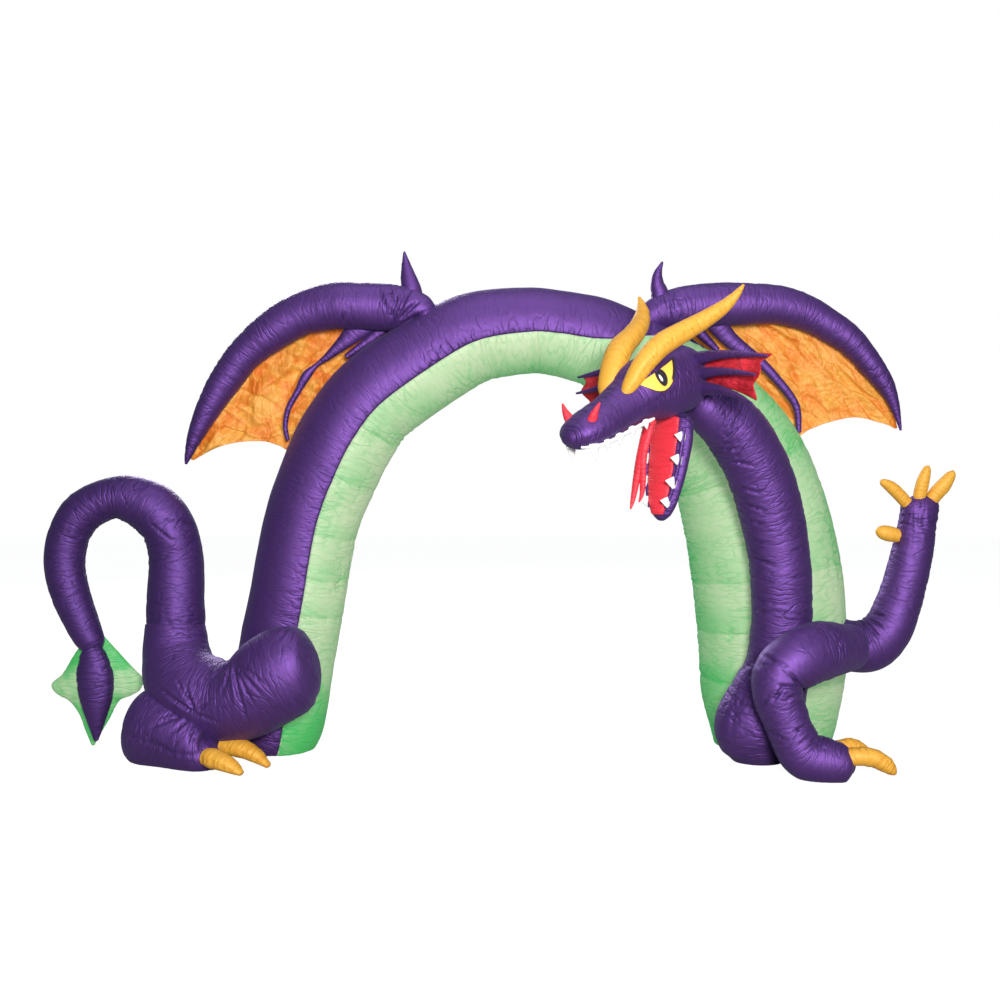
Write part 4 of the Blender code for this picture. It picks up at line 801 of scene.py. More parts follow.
# On the jaw: distance from the hinge, half width, half thickness
JAW = [
    (-0.03, 0.06, 0.03), (0, 0.1, 0.052), (0.08, 0.118, 0.058), (0.18, 0.115, 0.054),
    (0.28, 0.102, 0.049), (0.38, 0.08, 0.042), (0.438, 0.053, 0.031), (0.464, 0.02, 0.014),
]
LINING_SHARE = 0.72  # of the jaw's width
LINING_THICK = 0.016
LINING_SINK = 0.004  # below the jaw's inner face

# The red glows faintly: painted light standing in for daylight through the cloth.
RED = nylon("red_taffeta", (0.78, 0.035, 0.06), (0.40, 0.008, 0.015), satin=0.15, glow=0.05)


def on_jaw(distance, lift, aside=0.0):
    """A place on the lower jaw: down from its hinge, up from its middle, to the near side."""
    return JAW_HINGE + DOWN_JAW * distance + INWARD * lift + Vector((0, aside, 0))


head_way = way_of(91, crinkle_and_shade=0.4, reach=0.04, fold=0.012)
skull = filled("head", SKULL, PURPLE, head_way, face=UP, step=0.007, girth=0.008, place=HEAD,
               lengthwise=(0, 100, -100))
jaw_rows = [(*on_jaw(down, 0), wide, thick) for down, wide, thick in JAW]
filled("jaw", jaw_rows, PURPLE, dict(head_way, seed=93), face=INWARD, step=0.006, girth=0.007,
       place=HEAD, lengthwise=(60, -60))
lining_rows = []
for down, wide, thick in JAW[1:-1]:
    lining_rows.append((*on_jaw(down, thick - LINING_SINK), LINING_SHARE * wide, LINING_THICK))
filled("mouth_lining", lining_rows, RED, dict(head_way, seed=95), 0.5, face=INWARD, step=0.006,
       girth=0.007, place=HEAD)

# ---- Tongue ----
# Two thin stuffed tubes of red taffeta, sewn together at the root and apart below it, so that the
# tongue is forked. It hangs out of the mouth beside the jaw.
TONGUE = {
    "left": [
        (0.26, 0, 0.01, 0.02, 0.014), (0.325, 0, -0.045, 0.028, 0.02),
        (0.405, -0.005, -0.15, 0.026, 0.018), (0.462, -0.016, -0.25, 0.019, 0.015),
        (0.512, -0.014, -0.322, 0.013, 0.011), (0.545, -0.01, -0.358, 0.004, 0.004),
    ],
    "right": [
        (0.26, 0.005, 0.01, 0.018, 0.012), (0.325, 0.005, -0.045, 0.026, 0.018),
        (0.404, 0.004, -0.15, 0.024, 0.017), (0.448, 0.012, -0.25, 0.017, 0.013),
        (0.476, 0.012, -0.31, 0.012, 0.01), (0.5, 0.006, -0.342, 0.004, 0.004),
    ],
}
tongue_way = way_of(97, crinkle_and_shade=0.6, reach=0.02, pucker=0.003, sunk=0.001)
for part_name, rows in TONGUE.items():
    kept(blown("tongue_" + part_name, rows, RED, tongue_way, face=INWARD, step=0.005, girth=0.006,
               place=HEAD), "tongue")

# ---- Gums and teeth ----
# Thin stuffed strips with pointed white teeth of taffeta, sewn along the edges of the mouth, two
# above and two below. The upper strips are white, and the lower ones purple as the jaw is.

# A tooth's shares of its length, width and thickness
TOOTH = [(0, 1, 0.8), (0.3, 0.8, 0.9), (0.7, 0.38, 0.6), (1, 0.06, 0.15)]
TOOTH_HALF = 0.009  # of its thickness, at the gum
TOOTH_SUNK = 0.006  # into the gum
SIDEWAYS = Vector((0, 1, 0))
HANGING = Vector((0.15, 0, -1)).normalized()
UPPER_GUM = [
    (0.775, 0.045, 0.022, 0.006, 0.006), (0.71, 0.084, 0.006, 0.009, 0.009),
    (0.62, 0.094, 0.004, 0.009, 0.009), (0.52, 0.091, 0.006, 0.009, 0.009),
    (0.42, 0.098, 0.01, 0.009, 0.009), (0.375, 0.103, 0.011, 0.006, 0.006),
]
# A tooth's place in the head's frame, its length and half its width at the gum
UPPER_TEETH = [
    (0.728, 0.074, 0.012, 0.072, 0.03), (0.665, 0.09, 0.004, 0.038, 0.02),
    (0.592, 0.094, 0.004, 0.046, 0.024), (0.508, 0.092, 0.006, 0.042, 0.024),
    (0.425, 0.098, 0.009, 0.036, 0.022),
]
# On the jaw: distance from the hinge, to the near side, height above its middle
LOWER_GUM = [
    (0.05, 0.104, 0.04), (0.15, 0.104, 0.04), (0.25, 0.094, 0.037), (0.34, 0.076, 0.035),
    (0.41, 0.05, 0.032),
]
GUM_SHOWN = 0.009  # half the lower strip's width
# Distance from the hinge, to the near side, then length and half width
LOWER_TEETH = [
    (0.085, 0.1, 0.056, 0.03), (0.19, 0.098, 0.058, 0.031), (0.295, 0.086, 0.058, 0.031),
    (0.385, 0.064, 0.05, 0.027),
]
LOWER_TEETH_LIFT = 0.040  # their height above the jaw's middle

WHITE = nylon("white_taffeta", (0.76, 0.76, 0.76), (0.52, 0.52, 0.55), satin=0.0, bump=0.6)
tooth_way = way_of(99, lump=0.001, reach=0.01, pucker=0.001, sunk=0.0005)


def gum_with_teeth(name, rows, teeth, point, cloth):
    """A gum strip and its teeth as one piece; the teeth are white and point one way."""
    strip = blown(name, rows, cloth, tooth_way, face=point, step=0.005, girth=0.004, place=HEAD)
    strip.data.materials.append(WHITE)
    gum_faces = len(strip.data.polygons)
    parts = [strip]
    for x, y, z, long, wide in teeth:
        root = Vector((x, y, z)) - point * TOOTH_SUNK
        tooth_rows = []
        for part, across, through in TOOTH:
            spot = root + point * long * part
            tooth_rows.append((*spot, wide * across, TOOTH_HALF * through))
        parts.append(blown(name + "_tooth", tooth_rows, WHITE, tooth_way, face=SIDEWAYS, step=0.004,
                           girth=0.004, place=HEAD, domed=0.8))
    mesh = bmesh.new()
    for part in parts:
        mesh.from_mesh(part.data)
    mesh.faces.ensure_lookup_table()
    for face in mesh.faces[gum_faces:]:
        face.material_index = 1
    mesh.to_mesh(strip.data)
    mesh.free()
    for part in parts[1:]:
        bpy.data.objects.remove(part)
    return strip


SIDES = (("near", 1, list), ("far", -1, mirrored))
for which, sign, turned in SIDES:
    name = "upper_teeth_" + which
    kept(gum_with_teeth(name, turned(UPPER_GUM), turned(UPPER_TEETH), HANGING, WHITE), name)
    gum = []
    for down, out, lift in LOWER_GUM:
        gum.append((*on_jaw(down, lift, sign * out), GUM_SHOWN, GUM_SHOWN))
    teeth = []
    for down, out, long, wide in LOWER_TEETH:
        teeth.append((*on_jaw(down, LOWER_TEETH_LIFT, sign * out), long, wide))
    name = "lower_teeth_" + which
    kept(gum_with_teeth(name, gum, teeth, INWARD, PURPLE), name)

# ---- Horns and nostril spikes ----
# Two long horns of stuffed yellow taffeta are sewn above the eyes and sweep back over the head.
# Two short red spikes are sewn on over the nostrils.
HORN = [
    (0.48, 0.062, 0.15, 0.018, 0.018), (0.44, 0.074, 0.188, 0.038, 0.034),
    (0.348, 0.097, 0.258, 0.051, 0.047), (0.25, 0.128, 0.31, 0.055, 0.051),
    (0.13, 0.165, 0.333, 0.049, 0.047), (0.028, 0.21, 0.355, 0.042, 0.04),
    (-0.056, 0.26, 0.385, 0.031, 0.03), (-0.105, 0.3, 0.422, 0.018, 0.018),
    (-0.13, 0.33, 0.455, 0.006, 0.006),
]
FAR_HORN_BROAD = 1.18  # the far horn lies flatter
NOSTRIL_SPIKE = [
    (0.696, 0.056, 0.092, 0.03, 0.024), (0.697, 0.078, 0.128, 0.024, 0.02),
    (0.689, 0.101, 0.16, 0.014, 0.012), (0.675, 0.121, 0.188, 0.004, 0.004),
]
horn_way = way_of(101, reach=0.03, fold=0.012)
for which, _, turned in SIDES:
    broad = FAR_HORN_BROAD if which == "far" else 1.0
    horn_rows = [(x, y, z, broad * wide, high) for x, y, z, wide, high in turned(HORN)]
    filled("horn_" + which, horn_rows, YELLOW, horn_way, face=UP, step=0.006, girth=0.006,
           place=HEAD)
    filled("nostril_" + which, turned(NOSTRIL_SPIKE), RED, tongue_way, step=0.005, girth=0.005,
           place=HEAD)

# ---- Frill ----
# Behind each cheek three thin stuffed ribs of purple taffeta are sewn to the head, and a sheet of
# red taffeta is sewn along their backs and stretched between them.
FRILL_RIBS = {
    "upper": [
        (0.04, 0.1, 0.178, 0.024, 0.034), (0.05, 0.25, 0.193, 0.019, 0.022),
        (0.06, 0.41, 0.19, 0.014, 0.014), (0.065, 0.545, 0.178, 0.005, 0.005),
    ],
    "middle": [
        (0.05, 0.11, 0.11, 0.022, 0.03), (0.08, 0.25, 0.125, 0.018, 0.02),
        (0.105, 0.385, 0.125, 0.013, 0.013), (0.128, 0.51, 0.117, 0.005, 0.005),
    ],
    "lower": [
        (0.06, 0.11, 0.042, 0.024, 0.036), (0.09, 0.24, 0.047, 0.019, 0.022),
        (0.118, 0.36, 0.027, 0.014, 0.014), (0.147, 0.472, -0.005, 0.005, 0.005),
    ],
}
FAR_FRILL_AHEAD = 0.17  # the arch behind it presses the far frill toward the nose
FAR_FRILL_SHARE = 0.9  # and it is a little folded
FRILL_ROOT = 0.10  # where the ribs leave the head, and the length over which the far ones bend
FRILL_BEND = 0.30
FRILL_BEHIND = 0.032  # the web is sewn along the back of its ribs
WEB_LINES = 40  # between the upper rib and the lower one
WEB_STEPS = 30  # out along a rib
WEB_START, WEB_END = 0.08, 2.99  # in rows of the ribs' tables
WEB_DIP = 0.32  # of a row, between two ribs
SHEET_THICK = 0.0015  # of all sheets


def to_far_frill(rows):
    moved = []
    for x, y, *rest in rows:
        ahead = FAR_FRILL_AHEAD * min((y - FRILL_ROOT) / FRILL_BEND, 1.0)
        moved.append((x + ahead, -FAR_FRILL_SHARE * y, *rest))
    return moved


def frill_web(upper, middle, lower):
    """The cloth between three ribs: its outer edge dips in from rib to rib, and its red is painted
    darker by the ribs and in its pleats, as painted shade."""
    lines, tones = [], []
    for number in range(WEB_LINES + 1):
        between = 2 * number / WEB_LINES
        first = min(int(between), 1)
        share = between - first
        above, below = ((upper, middle), (middle, lower))[first]
        reach = WEB_END - WEB_DIP * math.sin(math.pi * share) ** 2
        line, row = [], []
        for step in range(WEB_STEPS + 1):
            place = WEB_START + (reach - WEB_START) * step / WEB_STEPS
            spot = Vector(along(above, place)[:3]).lerp(Vector(along(below, place)[:3]), share)
            taut = math.sin(math.pi * share) * math.sin(math.pi * step / WEB_STEPS)
            pleat = noise.noise(Vector((spot.y * 9, spot.z * 34, 7)))
            fine = noise.noise(Vector((spot.y * 40, spot.z * 26, 17)))
            slack = taut * (0.008 * pleat + 0.004 * fine)
            line.append(HEAD @ (spot - Vector((FRILL_BEHIND - slack, 0, 0))))
            # Painted shade: darker by the ribs and in the pleats.
            row.append(min(1.0, max(0.0, 0.75 - 0.7 * taut - 0.9 * pleat - 0.7 * fine)))
        lines.append(line)
        tones.append(row)
    return lines, tones


def thin_cloth(name, grid, tones, cloth, creased, printed=False):
    """A sheet on lines of places, with how deep its colour is painted at each (painted shade and
    light, or an eye's printed rim), and its flat map in metres.

    A printed one also has a map of its shares across and down."""
    lines, steps = len(grid) - 1, len(grid[0]) - 1
    across = [0.0]
    for here, there in zip(grid, grid[1:]):
        middle = len(here) // 2
        across.append(across[-1] + (there[middle] - here[middle]).length)
    corners = []
    for i in range(lines + 1):
        down, line = 0.0, []
        for j in range(steps + 1):
            if j:
                down += (grid[i][j] - grid[i][j - 1]).length
            line.append([grid[i][j], creased, (across[i], down), tones[i][j]])
        corners.append(line)
    mesh, spots = laid_out(corners)
    if printed:
        shares = mesh.loops.layers.uv.new("eye")
        for face in mesh.faces:
            for loop in face.loops:
                i, j = spots[loop.vert.index]
                loop[shares].uv = (i / lines, j / steps)
    bmesh.ops.recalc_face_normals(mesh, faces=mesh.faces[:])
    bmesh.ops.solidify(mesh, geom=mesh.faces[:], thickness=SHEET_THICK)
    return sewn(name, mesh, cloth)


for which, *_ in SIDES:
    ribs = []
    for rib_name, rows in FRILL_RIBS.items():
        ribs.append(rows if which == "near" else to_far_frill(rows))
        filled("frill_rib_" + rib_name + "_" + which, ribs[-1], PURPLE, tooth_way, face=UP,
               step=0.006, girth=0.006, place=HEAD)
    web = thin_cloth("frill_web_" + which, *frill_web(*ribs), RED, 0.6)
    kept(web, "frill_web_" + which)

# ---- Eyes ----
# Each eye is one piece of yellow cloth, printed with a black rim, a slit pupil and a white glint,
# and sewn flat on the side of the head below the horn.

# Of the eye: distance along the head, and degrees from the crown to its upper edge
EYE_BACK = (0.172, 40)
EYE_FRONT = (0.412, 53)
EYE_SAG = 4  # degrees, of its upper edge
EYE_DEPTH = 34  # degrees, at its lowest
EYE_LEAN = 1.25  # above 1 the lowest place lies toward the nose
EYE_CORNER = 2  # degrees, at its corners
EYE_ROUND = 0.8  # below 1 the lower edge is fuller than a half wave
EYE_LIFT = 0.0022  # off the head's cloth
EYE_LINES = 60
EYE_STEPS = 30
# Shares of the eye's length, back to front, and of its height, top to bottom
PUPIL_AT, PUPIL_HALF = (0.55, 0.34), (0.115, 0.46)
GLINT_AT, GLINT_HALF = (0.58, 0.36), (0.026, 0.17)
RIM_BACK, RIM_BELOW, RIM_ABOVE = 0.013, 0.004, 0.009  # widths of the black rim
RIM_THINNER = 0.018  # how far the upper rim has drawn in by the eye's front corner

HEAD_CLOTH = BVHTree.FromPolygons([v.co for v in skull.data.vertices],
                                  [face.vertices for face in skull.data.polygons])


def eye_patch(sign):
    """Lines of places on the head's cloth from the eye's upper edge to its lower one, and how
    black its rim is at each of them."""
    lines = []
    for number in range(EYE_LINES + 1):
        share = number / EYE_LINES
        distance = EYE_BACK[0] + (EYE_FRONT[0] - EYE_BACK[0]) * share
        heart = HEAD @ Vector((distance, 0, 0.11))
        top = EYE_BACK[1] + (EYE_FRONT[1] - EYE_BACK[1]) * share
        top += EYE_SAG * math.sin(math.pi * share)
        drop = EYE_CORNER + EYE_DEPTH * math.sin(math.pi * share**EYE_LEAN) ** EYE_ROUND
        line = []
        for step in range(EYE_STEPS + 1):
            angle = sign * math.radians(top + drop * step / EYE_STEPS)
            outward = HEAD.to_3x3() @ Vector((0, math.sin(angle), math.cos(angle)))
            line.append(HEAD_CLOTH.ray_cast(heart, outward)[0] + outward * EYE_LIFT)
        lines.append(line)
    back_edge = [line[-1] for line in lines[:EYE_LINES // 3]]
    rims = []
    for number, line in enumerate(lines):
        rim = []
        for spot in line:
            below = (line[-1] - spot).length / RIM_BELOW
            above = (line[0] - spot).length + RIM_THINNER * number / EYE_LINES
            back = min((spot - other).length for other in back_edge) / RIM_BACK
            rim.append(1 - min(smooth(below, 0.75, 1.25), smooth(above / RIM_ABOVE, 0.85, 1.15),
                               smooth(back, 0.85, 1.15)))
        rims.append(rim)
    return lines, rims


def eye_cloth():
    """Yellow cloth printed with a black rim, a slit pupil and a white glint."""
    # The eye's yellow glows a little: painted light.
    material = nylon("eye_taffeta", (0.92, 0.56, 0.08), (0.86, 0.40, 0.04), satin=0.05, glow=0.10)
    tree = material.node_tree
    shader = tree.nodes["Principled BSDF"]
    place = node(tree, "ShaderNodeUVMap", uv_map="eye").outputs["UV"]
    rim = node(tree, "ShaderNodeAttribute", attribute_name="deep").outputs["Fac"]

    def within(centre, half, soft):
        """1 inside an ellipse of the eye's own map, 0 outside it."""
        shift = node(tree, "ShaderNodeMapping", {
            "Vector": place, "Location": (-centre[0] / half[0], -centre[1] / half[1], 0),
            "Scale": (1 / half[0], 1 / half[1], 1)}).outputs["Vector"]
        far = node(tree, "ShaderNodeVectorMath", {0: shift}, operation="LENGTH").outputs["Value"]
        edge = {"Value": far, "From Min": 1 - soft, "From Max": 1 + soft, "To Min": 1.0,
                "To Max": 0.0}
        return node(tree, "ShaderNodeMapRange", edge).outputs["Result"]

    black = (0.012, 0.010, 0.016, 1)
    shown = shader.inputs["Base Color"].links[0].from_socket
    for mask, colour in ((within(PUPIL_AT, PUPIL_HALF, 0.06), black),
                         (within(GLINT_AT, GLINT_HALF, 0.15), (0.9, 0.9, 0.9, 1)), (rim, black)):
        shown = node(tree, "ShaderNodeMix", {"Factor": mask, "A": shown, "B": colour},
                     data_type="RGBA").outputs["Result"]
    plug(tree, shader, {"Base Color": shown, "Emission Color": shown})
    return material


EYE = eye_cloth()
for which, sign, _ in SIDES:
    eye = thin_cloth("eye_" + which, *eye_patch(sign), EYE, 0.1, printed=True)
    kept(eye, "eye_" + which)

# ---- Wing arms and battens ----
# Each wing has a filled arm of purple taffeta, sewn to the top of the arch, that curves out and
# tapers to a point. A spike is sewn on above its root, and two thin stuffed battens below it.
WING_ARMS = {
    "left": [
        (-0.34, -0.06, 2.17, 0.045, 0.045), (-0.405, -0.05, 2.24, 0.078, 0.075),
        (-0.53, -0.02, 2.248, 0.116, 0.104), (-0.755, 0, 2.258, 0.119, 0.112),
        (-0.88, 0.015, 2.252, 0.117, 0.11), (-1.016, 0.03, 2.215, 0.11, 0.106),
        (-1.132, 0.04, 2.153, 0.105, 0.102), (-1.3, 0.05, 2.025, 0.089, 0.088),
        (-1.407, 0.06, 1.89, 0.083, 0.082), (-1.489, 0.06, 1.758, 0.066, 0.067),
        (-1.559, 0.06, 1.618, 0.043, 0.045), (-1.6, 0.06, 1.51, 0.022, 0.024),
        (-1.616, 0.06, 1.458, 0.007, 0.007),
    ],
    "right": [
        (0.7, 0, 2.15, 0.05, 0.05), (0.79, 0, 2.215, 0.085, 0.08), (0.918, 0, 2.245, 0.11, 0.1),
        (1.11, 0.02, 2.268, 0.112, 0.106), (1.24, 0.03, 2.273, 0.108, 0.104),
        (1.398, 0.04, 2.27, 0.101, 0.1), (1.52, 0.05, 2.243, 0.096, 0.096),
        (1.628, 0.055, 2.195, 0.085, 0.086), (1.796, 0.06, 2.085, 0.076, 0.077),
        (1.944, 0.06, 1.908, 0.056, 0.058), (2.01, 0.06, 1.795, 0.035, 0.037),
        (2.048, 0.06, 1.68, 0.014, 0.015), (2.059, 0.06, 1.631, 0.006, 0.006),
    ],
}
ROOT_CREASES = [
    (-0.535, 2.156, -0.449, 2.334, 0.014, 0.01), (-0.525, 2.161, -0.383, 2.294, 0.014, 0.01),
    (-0.545, 2.166, -0.51, 2.314, 0.01, 0.009), (-0.52, 2.151, -0.337, 2.232, 0.012, 0.009),
    (-0.6, 2.33, -0.56, 2.23, 0.006, 0.008), (-0.56, 2.34, -0.5, 2.25, 0.008, 0.008),
    (-0.8, 2.16, -0.77, 2.23, 0.006, 0.008),
]
WING_SPIKES = {
    "left": [
        (-0.43, -0.03, 2.25, 0.055, 0.05), (-0.447, -0.02, 2.34, 0.052, 0.046),
        (-0.462, -0.01, 2.4, 0.042, 0.038), (-0.474, 0, 2.46, 0.027, 0.025),
        (-0.484, 0, 2.533, 0.005, 0.005),
    ],
    "right": [
        (0.82, 0, 2.25, 0.05, 0.046), (0.81, 0, 2.32, 0.046, 0.042), (0.797, 0, 2.37, 0.036, 0.034),
        (0.798, 0, 2.42, 0.024, 0.023), (0.822, 0, 2.482, 0.005, 0.005),
    ],
}
BATTENS = {
    "left_long": [
        (-0.69, 0.02, 2.18, 0.068, 0.028), (-0.79, 0.03, 2.085, 0.04, 0.026),
        (-0.876, 0.035, 2.01, 0.021, 0.019), (-0.935, 0.038, 1.965, 0.012, 0.012),
        (-0.99, 0.04, 1.91, 0.024, 0.02), (-1.035, 0.042, 1.83, 0.017, 0.016),
        (-1.082, 0.042, 1.745, 0.015, 0.015), (-1.1, 0.044, 1.655, 0.013, 0.013),
        (-1.088, 0.044, 1.58, 0.01, 0.01),
    ],
    "left_short": [
        (-0.56, 0.03, 2.175, 0.036, 0.024), (-0.66, 0.03, 2.095, 0.026, 0.022),
        (-0.785, 0.03, 2.005, 0.015, 0.015),
    ],
    "right_long": [
        (1.08, 0.02, 2.2, 0.056, 0.028), (1.166, 0.03, 2.1, 0.044, 0.028),
        (1.25, 0.034, 2.035, 0.036, 0.025), (1.35, 0.038, 1.96, 0.026, 0.022),
        (1.475, 0.04, 1.82, 0.022, 0.02), (1.522, 0.042, 1.735, 0.019, 0.018),
        (1.532, 0.042, 1.62, 0.013, 0.013),
    ],
    "right_short": [
        (0.955, 0.03, 2.2, 0.033, 0.024), (1.036, 0.03, 2.11, 0.026, 0.022),
        (1.11, 0.03, 2.04, 0.015, 0.015),
    ],
}
for which, rows in WING_ARMS.items():
    arm_way = way_of(111 + len(which), lump=0.005, crinkle_and_shade=0.25, reach=0.06, pucker=0.0035, fold=0.016)
    filled("wing_arm_" + which, rows, PURPLE, arm_way, crosswise=(1.5,), creases=ROOT_CREASES,
           step=0.008, girth=0.009)
    filled("wing_spike_" + which, WING_SPIKES[which], PURPLE, way_of(115 + len(which), reach=0.04),
           step=0.006, girth=0.007)
batten_way = way_of(131, lump=0.002, reach=0.02, pucker=0.003, sunk=0.001)
for name, rows in BATTENS.items():
    filled("batten_" + name, rows, PURPLE, batten_way, step=0.006, girth=0.006)

# ---- Wing cloths ----
# One sheet of orange taffeta for each wing, sewn along the back of the arm and stretched over the
# battens, with a scalloped lower edge. It was packed flat, so it is crumpled into facets.

# x and z at the arm, x and z at the lower edge
WING_CLOTHS = {
    "left": [
        (-1.6, 1.48, -1.585, 1.476), (-1.56, 1.6, -1.472, 1.538), (-1.45, 1.78, -1.354, 1.569),
        (-1.32, 1.93, -1.225, 1.574), (-1.24, 2.01, -1.148, 1.554), (-1.13, 2.09, -1.04, 1.525),
        (-1, 2.15, -0.92, 1.72), (-0.87, 2.19, -0.82, 1.86), (-0.74, 2.2, -0.71, 1.98),
        (-0.6, 2.2, -0.59, 2.08), (-0.48, 2.2, -0.48, 2.1),
    ],
    "right": [
        (2.053, 1.642, 2.046, 1.638), (2.008, 1.78, 1.982, 1.665), (1.9, 1.91, 1.838, 1.698),
        (1.8, 2.02, 1.699, 1.672), (1.7, 2.09, 1.601, 1.636), (1.58, 2.16, 1.5, 1.6),
        (1.45, 2.2, 1.35, 1.78), (1.33, 2.22, 1.25, 1.88), (1.2, 2.22, 1.13, 1.96),
        (1.08, 2.22, 1.03, 2.04), (0.96, 2.22, 0.94, 2.09),
    ],
}
CLOTH_DEPTH = 0.068  # how far the sheet lies behind the middle of the arch
CLOTH_SAG = 0.028  # further back, for the whole sheet
CLOTH_SLACK = 0.012  # and further in its middle
CLOTH_LINES = 72  # steps from the arm to the lower edge
CLOTH_FINE = 20  # lines to a row of the table

# For each wing: facets in a metre, how far they are drawn out, their lean, how far they tilt and
# how much their painted light and shade differ, from the widest facets to the smallest.
FACETS = {
    "left": [(6.5, 1.6, 50, 0.040, 0.55), (13.0, 1.5, -20, 0.022, 0.45),
             (27.0, 1.3, 75, 0.009, 0.25)],
    "right": [(7.5, 2.2, -38, 0.030, 0.22), (15.0, 1.9, -52, 0.016, 0.20),
              (30.0, 1.3, 10, 0.007, 0.10)],
}
# Painted shade and light on the orange: how much darker it is by the battens and the arm, how
# dark the edges between the facets are (below 0 they are painted highlights), and the tone of the
# rest.
CLOTH_SHADING = {"left": (0.70, -0.30, 0.30), "right": (0.30, 0.65, 0.06)}

# The orange glows: painted light standing in for daylight through the cloth.
ORANGE = nylon("orange_taffeta", (0.58, 0.262, 0.040), (0.53, 0.130, 0.009), satin=0.08, glow=0.22)


def crumple(x, z, seed, facets):
    """Flat facets, each tilted its own way, that meet in straight sharp crests: the height, the
    painted light and shade for how far the facet is turned from the light, and how near a crest is."""
    high, turned_away, crest = 0.0, 0.0, 0.0
    for number, (pace, drawn, lean, tilt, tones) in enumerate(facets):
        lean = math.radians(lean)
        u = (x * math.cos(lean) + z * math.sin(lean)) * pace / drawn
        v = (z * math.cos(lean) - x * math.sin(lean)) * pace * drawn
        away, hearts = noise.voronoi(Vector((u, v, seed + 3 * number)))
        gap = away[1] - away[0]
        mask = min(1.0, max(0.3, 0.8 + 1.1 * noise.noise(Vector((x * 5, z * 5, seed + number)))))
        within = smooth(gap, 0.0, 0.10)
        for heart, share in ((hearts[0], 0.5 + 0.5 * within), (hearts[1], 0.5 - 0.5 * within)):
            way = 2 * math.pi * (43.7 * math.sin(heart.x * 12.9 + heart.y * 78.2) % 1.0)
            rise = (u - heart.x) * math.cos(way) + (v - heart.y) * math.sin(way)
            high += tilt * mask * share * rise
            turned_away += tones * mask * share * math.cos(way)
        broken = smooth(noise.noise(Vector((x * 9, z * 9, seed + 40 + number))), -0.1, 0.25)
        crest = max(crest, broken * (1 - smooth(gap, 0.0, 0.14)) * (1 - 0.25 * number))
    return high, turned_away, crest


def wing_cloth(rows, seed, battens, facets, tones):
    """Places from the arm to the lower edge, and the painted shade and light on the orange at each
    of them.
    """
    contrast, edge, ground = tones
    lines, depths = [], []
    for number in range(CLOTH_FINE * (len(rows) - 1) + 1):
        arm_x, arm_z, edge_x, edge_z = along(rows, number / CLOTH_FINE)
        line, depth = [], []
        for step in range(CLOTH_LINES + 1):
            share = step / CLOTH_LINES
            slack = math.sin(math.pi * share)
            x = arm_x + (edge_x - arm_x) * share
            z = arm_z + (edge_z - arm_z) * share
            fold = 0.010 * slack * math.sin(1.3 * 2 * number / CLOTH_FINE + 2.6 * share)
            high, turned_away, crest = crumple(x, z, seed, facets)
            fold += CLOTH_SAG - high * min(1.0, 0.3 + 6 * share, 0.4 + 6 * (1 - share))
            line.append(Vector((x, CLOTH_DEPTH + CLOTH_SLACK * slack + fold, z)) + MIDDLE)
            near = min(math.hypot(x - bx, z - bz) for bx, bz in battens)
            # Painted shade by the battens and the arm and by each facet's turn from the light,
            # painted highlights or shade along the crests, and a random tone.
            deep = 0.75 * math.exp(-near / 0.06) + 0.3 * math.exp(-share / 0.1)
            deep += 0.6 * noise.noise(Vector((x * 6, z * 6, seed + 20)))
            deep = ground + contrast * deep + turned_away + edge * crest
            depth.append(min(1.0, max(-0.4, deep)))
        lines.append(line)
        depths.append(depth)
    return lines, depths


for which, rows in WING_CLOTHS.items():
    beside = []
    for name, batten_rows in BATTENS.items():
        if name.startswith(which):
            beside += [(row[0], row[2]) for row in Path(batten_rows, 0.03, FRONT).rows]
    sheet = wing_cloth(rows, 120 + len(which), beside, FACETS[which], CLOTH_SHADING[which])
    cloth = thin_cloth("wing_cloth_" + which, *sheet, ORANGE, 0.15)
    kept(cloth, "wing_cloth_" + which)

# ---- Camera, floor and light ----
# The archway stands on a plain pale studio floor, and the camera is where the photograph's was:
# 6.5 m in front of the arch, at eye height, looking slightly down. A broad lamp lights it from the
# front, with softer ones above and behind.
PHOTO_LENS = 1274.5 / 1000  # focal length over the picture's width
SENSOR = 36
LOOK_DOWN = 2.86  # degrees

scene = bpy.context.scene
camera_data = bpy.data.cameras.new("camera")
camera_data.sensor_width = SENSOR
camera_data.lens = PHOTO_LENS * SENSOR
camera = bpy.data.objects.new("camera", camera_data)
camera.location = Vector((0, -6.5, 1.6)) + MIDDLE
camera.rotation_euler = (math.radians(90 - LOOK_DOWN), 0, 0)
scene.collection.objects.link(camera)
scene.camera = camera


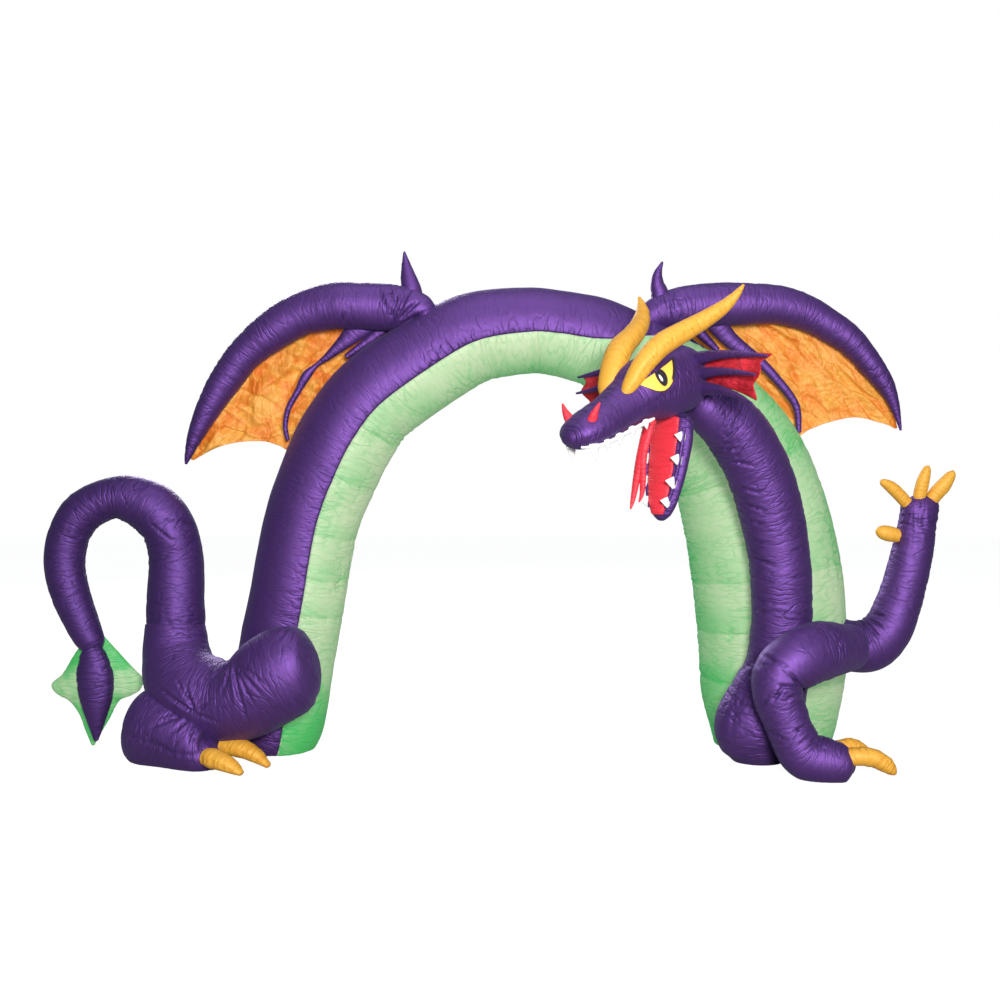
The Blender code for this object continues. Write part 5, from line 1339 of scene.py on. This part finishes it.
def seen_or_lit(tree, shown, lighting, output):
    """What the camera sees is pale, and what lights the archway is dimmer."""
    sight = node(tree, "ShaderNodeLightPath").outputs["Is Camera Ray"]
    mixed = node(tree, "ShaderNodeMixShader", {"Fac": sight, 1: lighting, 2: shown})
    plug(tree, tree.nodes[output], {"Surface": mixed.outputs["Shader"]})


mesh = bmesh.new()
bmesh.ops.create_grid(mesh, x_segments=2, y_segments=2, size=14)
floor_data = bpy.data.meshes.new("floor")
mesh.to_mesh(floor_data)
mesh.free()
pale_floor = bpy.data.materials.new("pale_floor")
pale_floor.use_nodes = True
tree = pale_floor.node_tree
plug(tree, tree.nodes["Principled BSDF"], {
    "Base Color": (0.10, 0.10, 0.10, 1), "Roughness": 0.9, "Specular IOR Level": 0.1,
    "Emission Color": (1, 1, 1, 1), "Emission Strength": 0.965})
dull = node(tree, "ShaderNodeBsdfDiffuse", {"Color": (0.30, 0.30, 0.30, 1)})
seen_or_lit(tree, tree.nodes["Principled BSDF"].outputs["BSDF"], dull.outputs["BSDF"],
            "Material Output")
floor_data.materials.append(pale_floor)
floor = bpy.data.objects.new("floor", floor_data)
scene.collection.objects.link(floor)

world = bpy.data.worlds.new("studio")
world.use_nodes = True
tree = world.node_tree
plug(tree, tree.nodes["Background"], {"Color": (0.60, 0.80, 1.0, 1), "Strength": 0.16})
backdrop = node(tree, "ShaderNodeBackground", {"Color": (1, 1, 1, 1), "Strength": 1.0})
seen_or_lit(tree, backdrop.outputs["Background"], tree.nodes["Background"].outputs["Background"],
            "World Output")
scene.world = world


def soft_light(name, place, aim, size, power, colour=(1, 1, 1)):
    data = bpy.data.lights.new(name, "AREA")
    data.color = colour
    data.shape = "DISK"
    data.size = size
    data.energy = power
    light = bpy.data.objects.new(name, data)
    light.location = place
    light.rotation_euler = (Vector(aim) - Vector(place)).to_track_quat("-Z", "Y").to_euler()
    scene.collection.objects.link(light)


soft_light("front_light", (0.9, -7.5, 2.9), (0, 0, 1.1), 1.8, 870, (1.0, 0.975, 0.94))
soft_light("top_light", (0.3, -1.0, 6.5), (0, 0, 1.2), 5.0, 130)
soft_light("back_light", (-2.5, 6.5, 4.5), (0, 0, 1.1), 3.0, 380)
scene.view_settings.view_transform = "Standard"
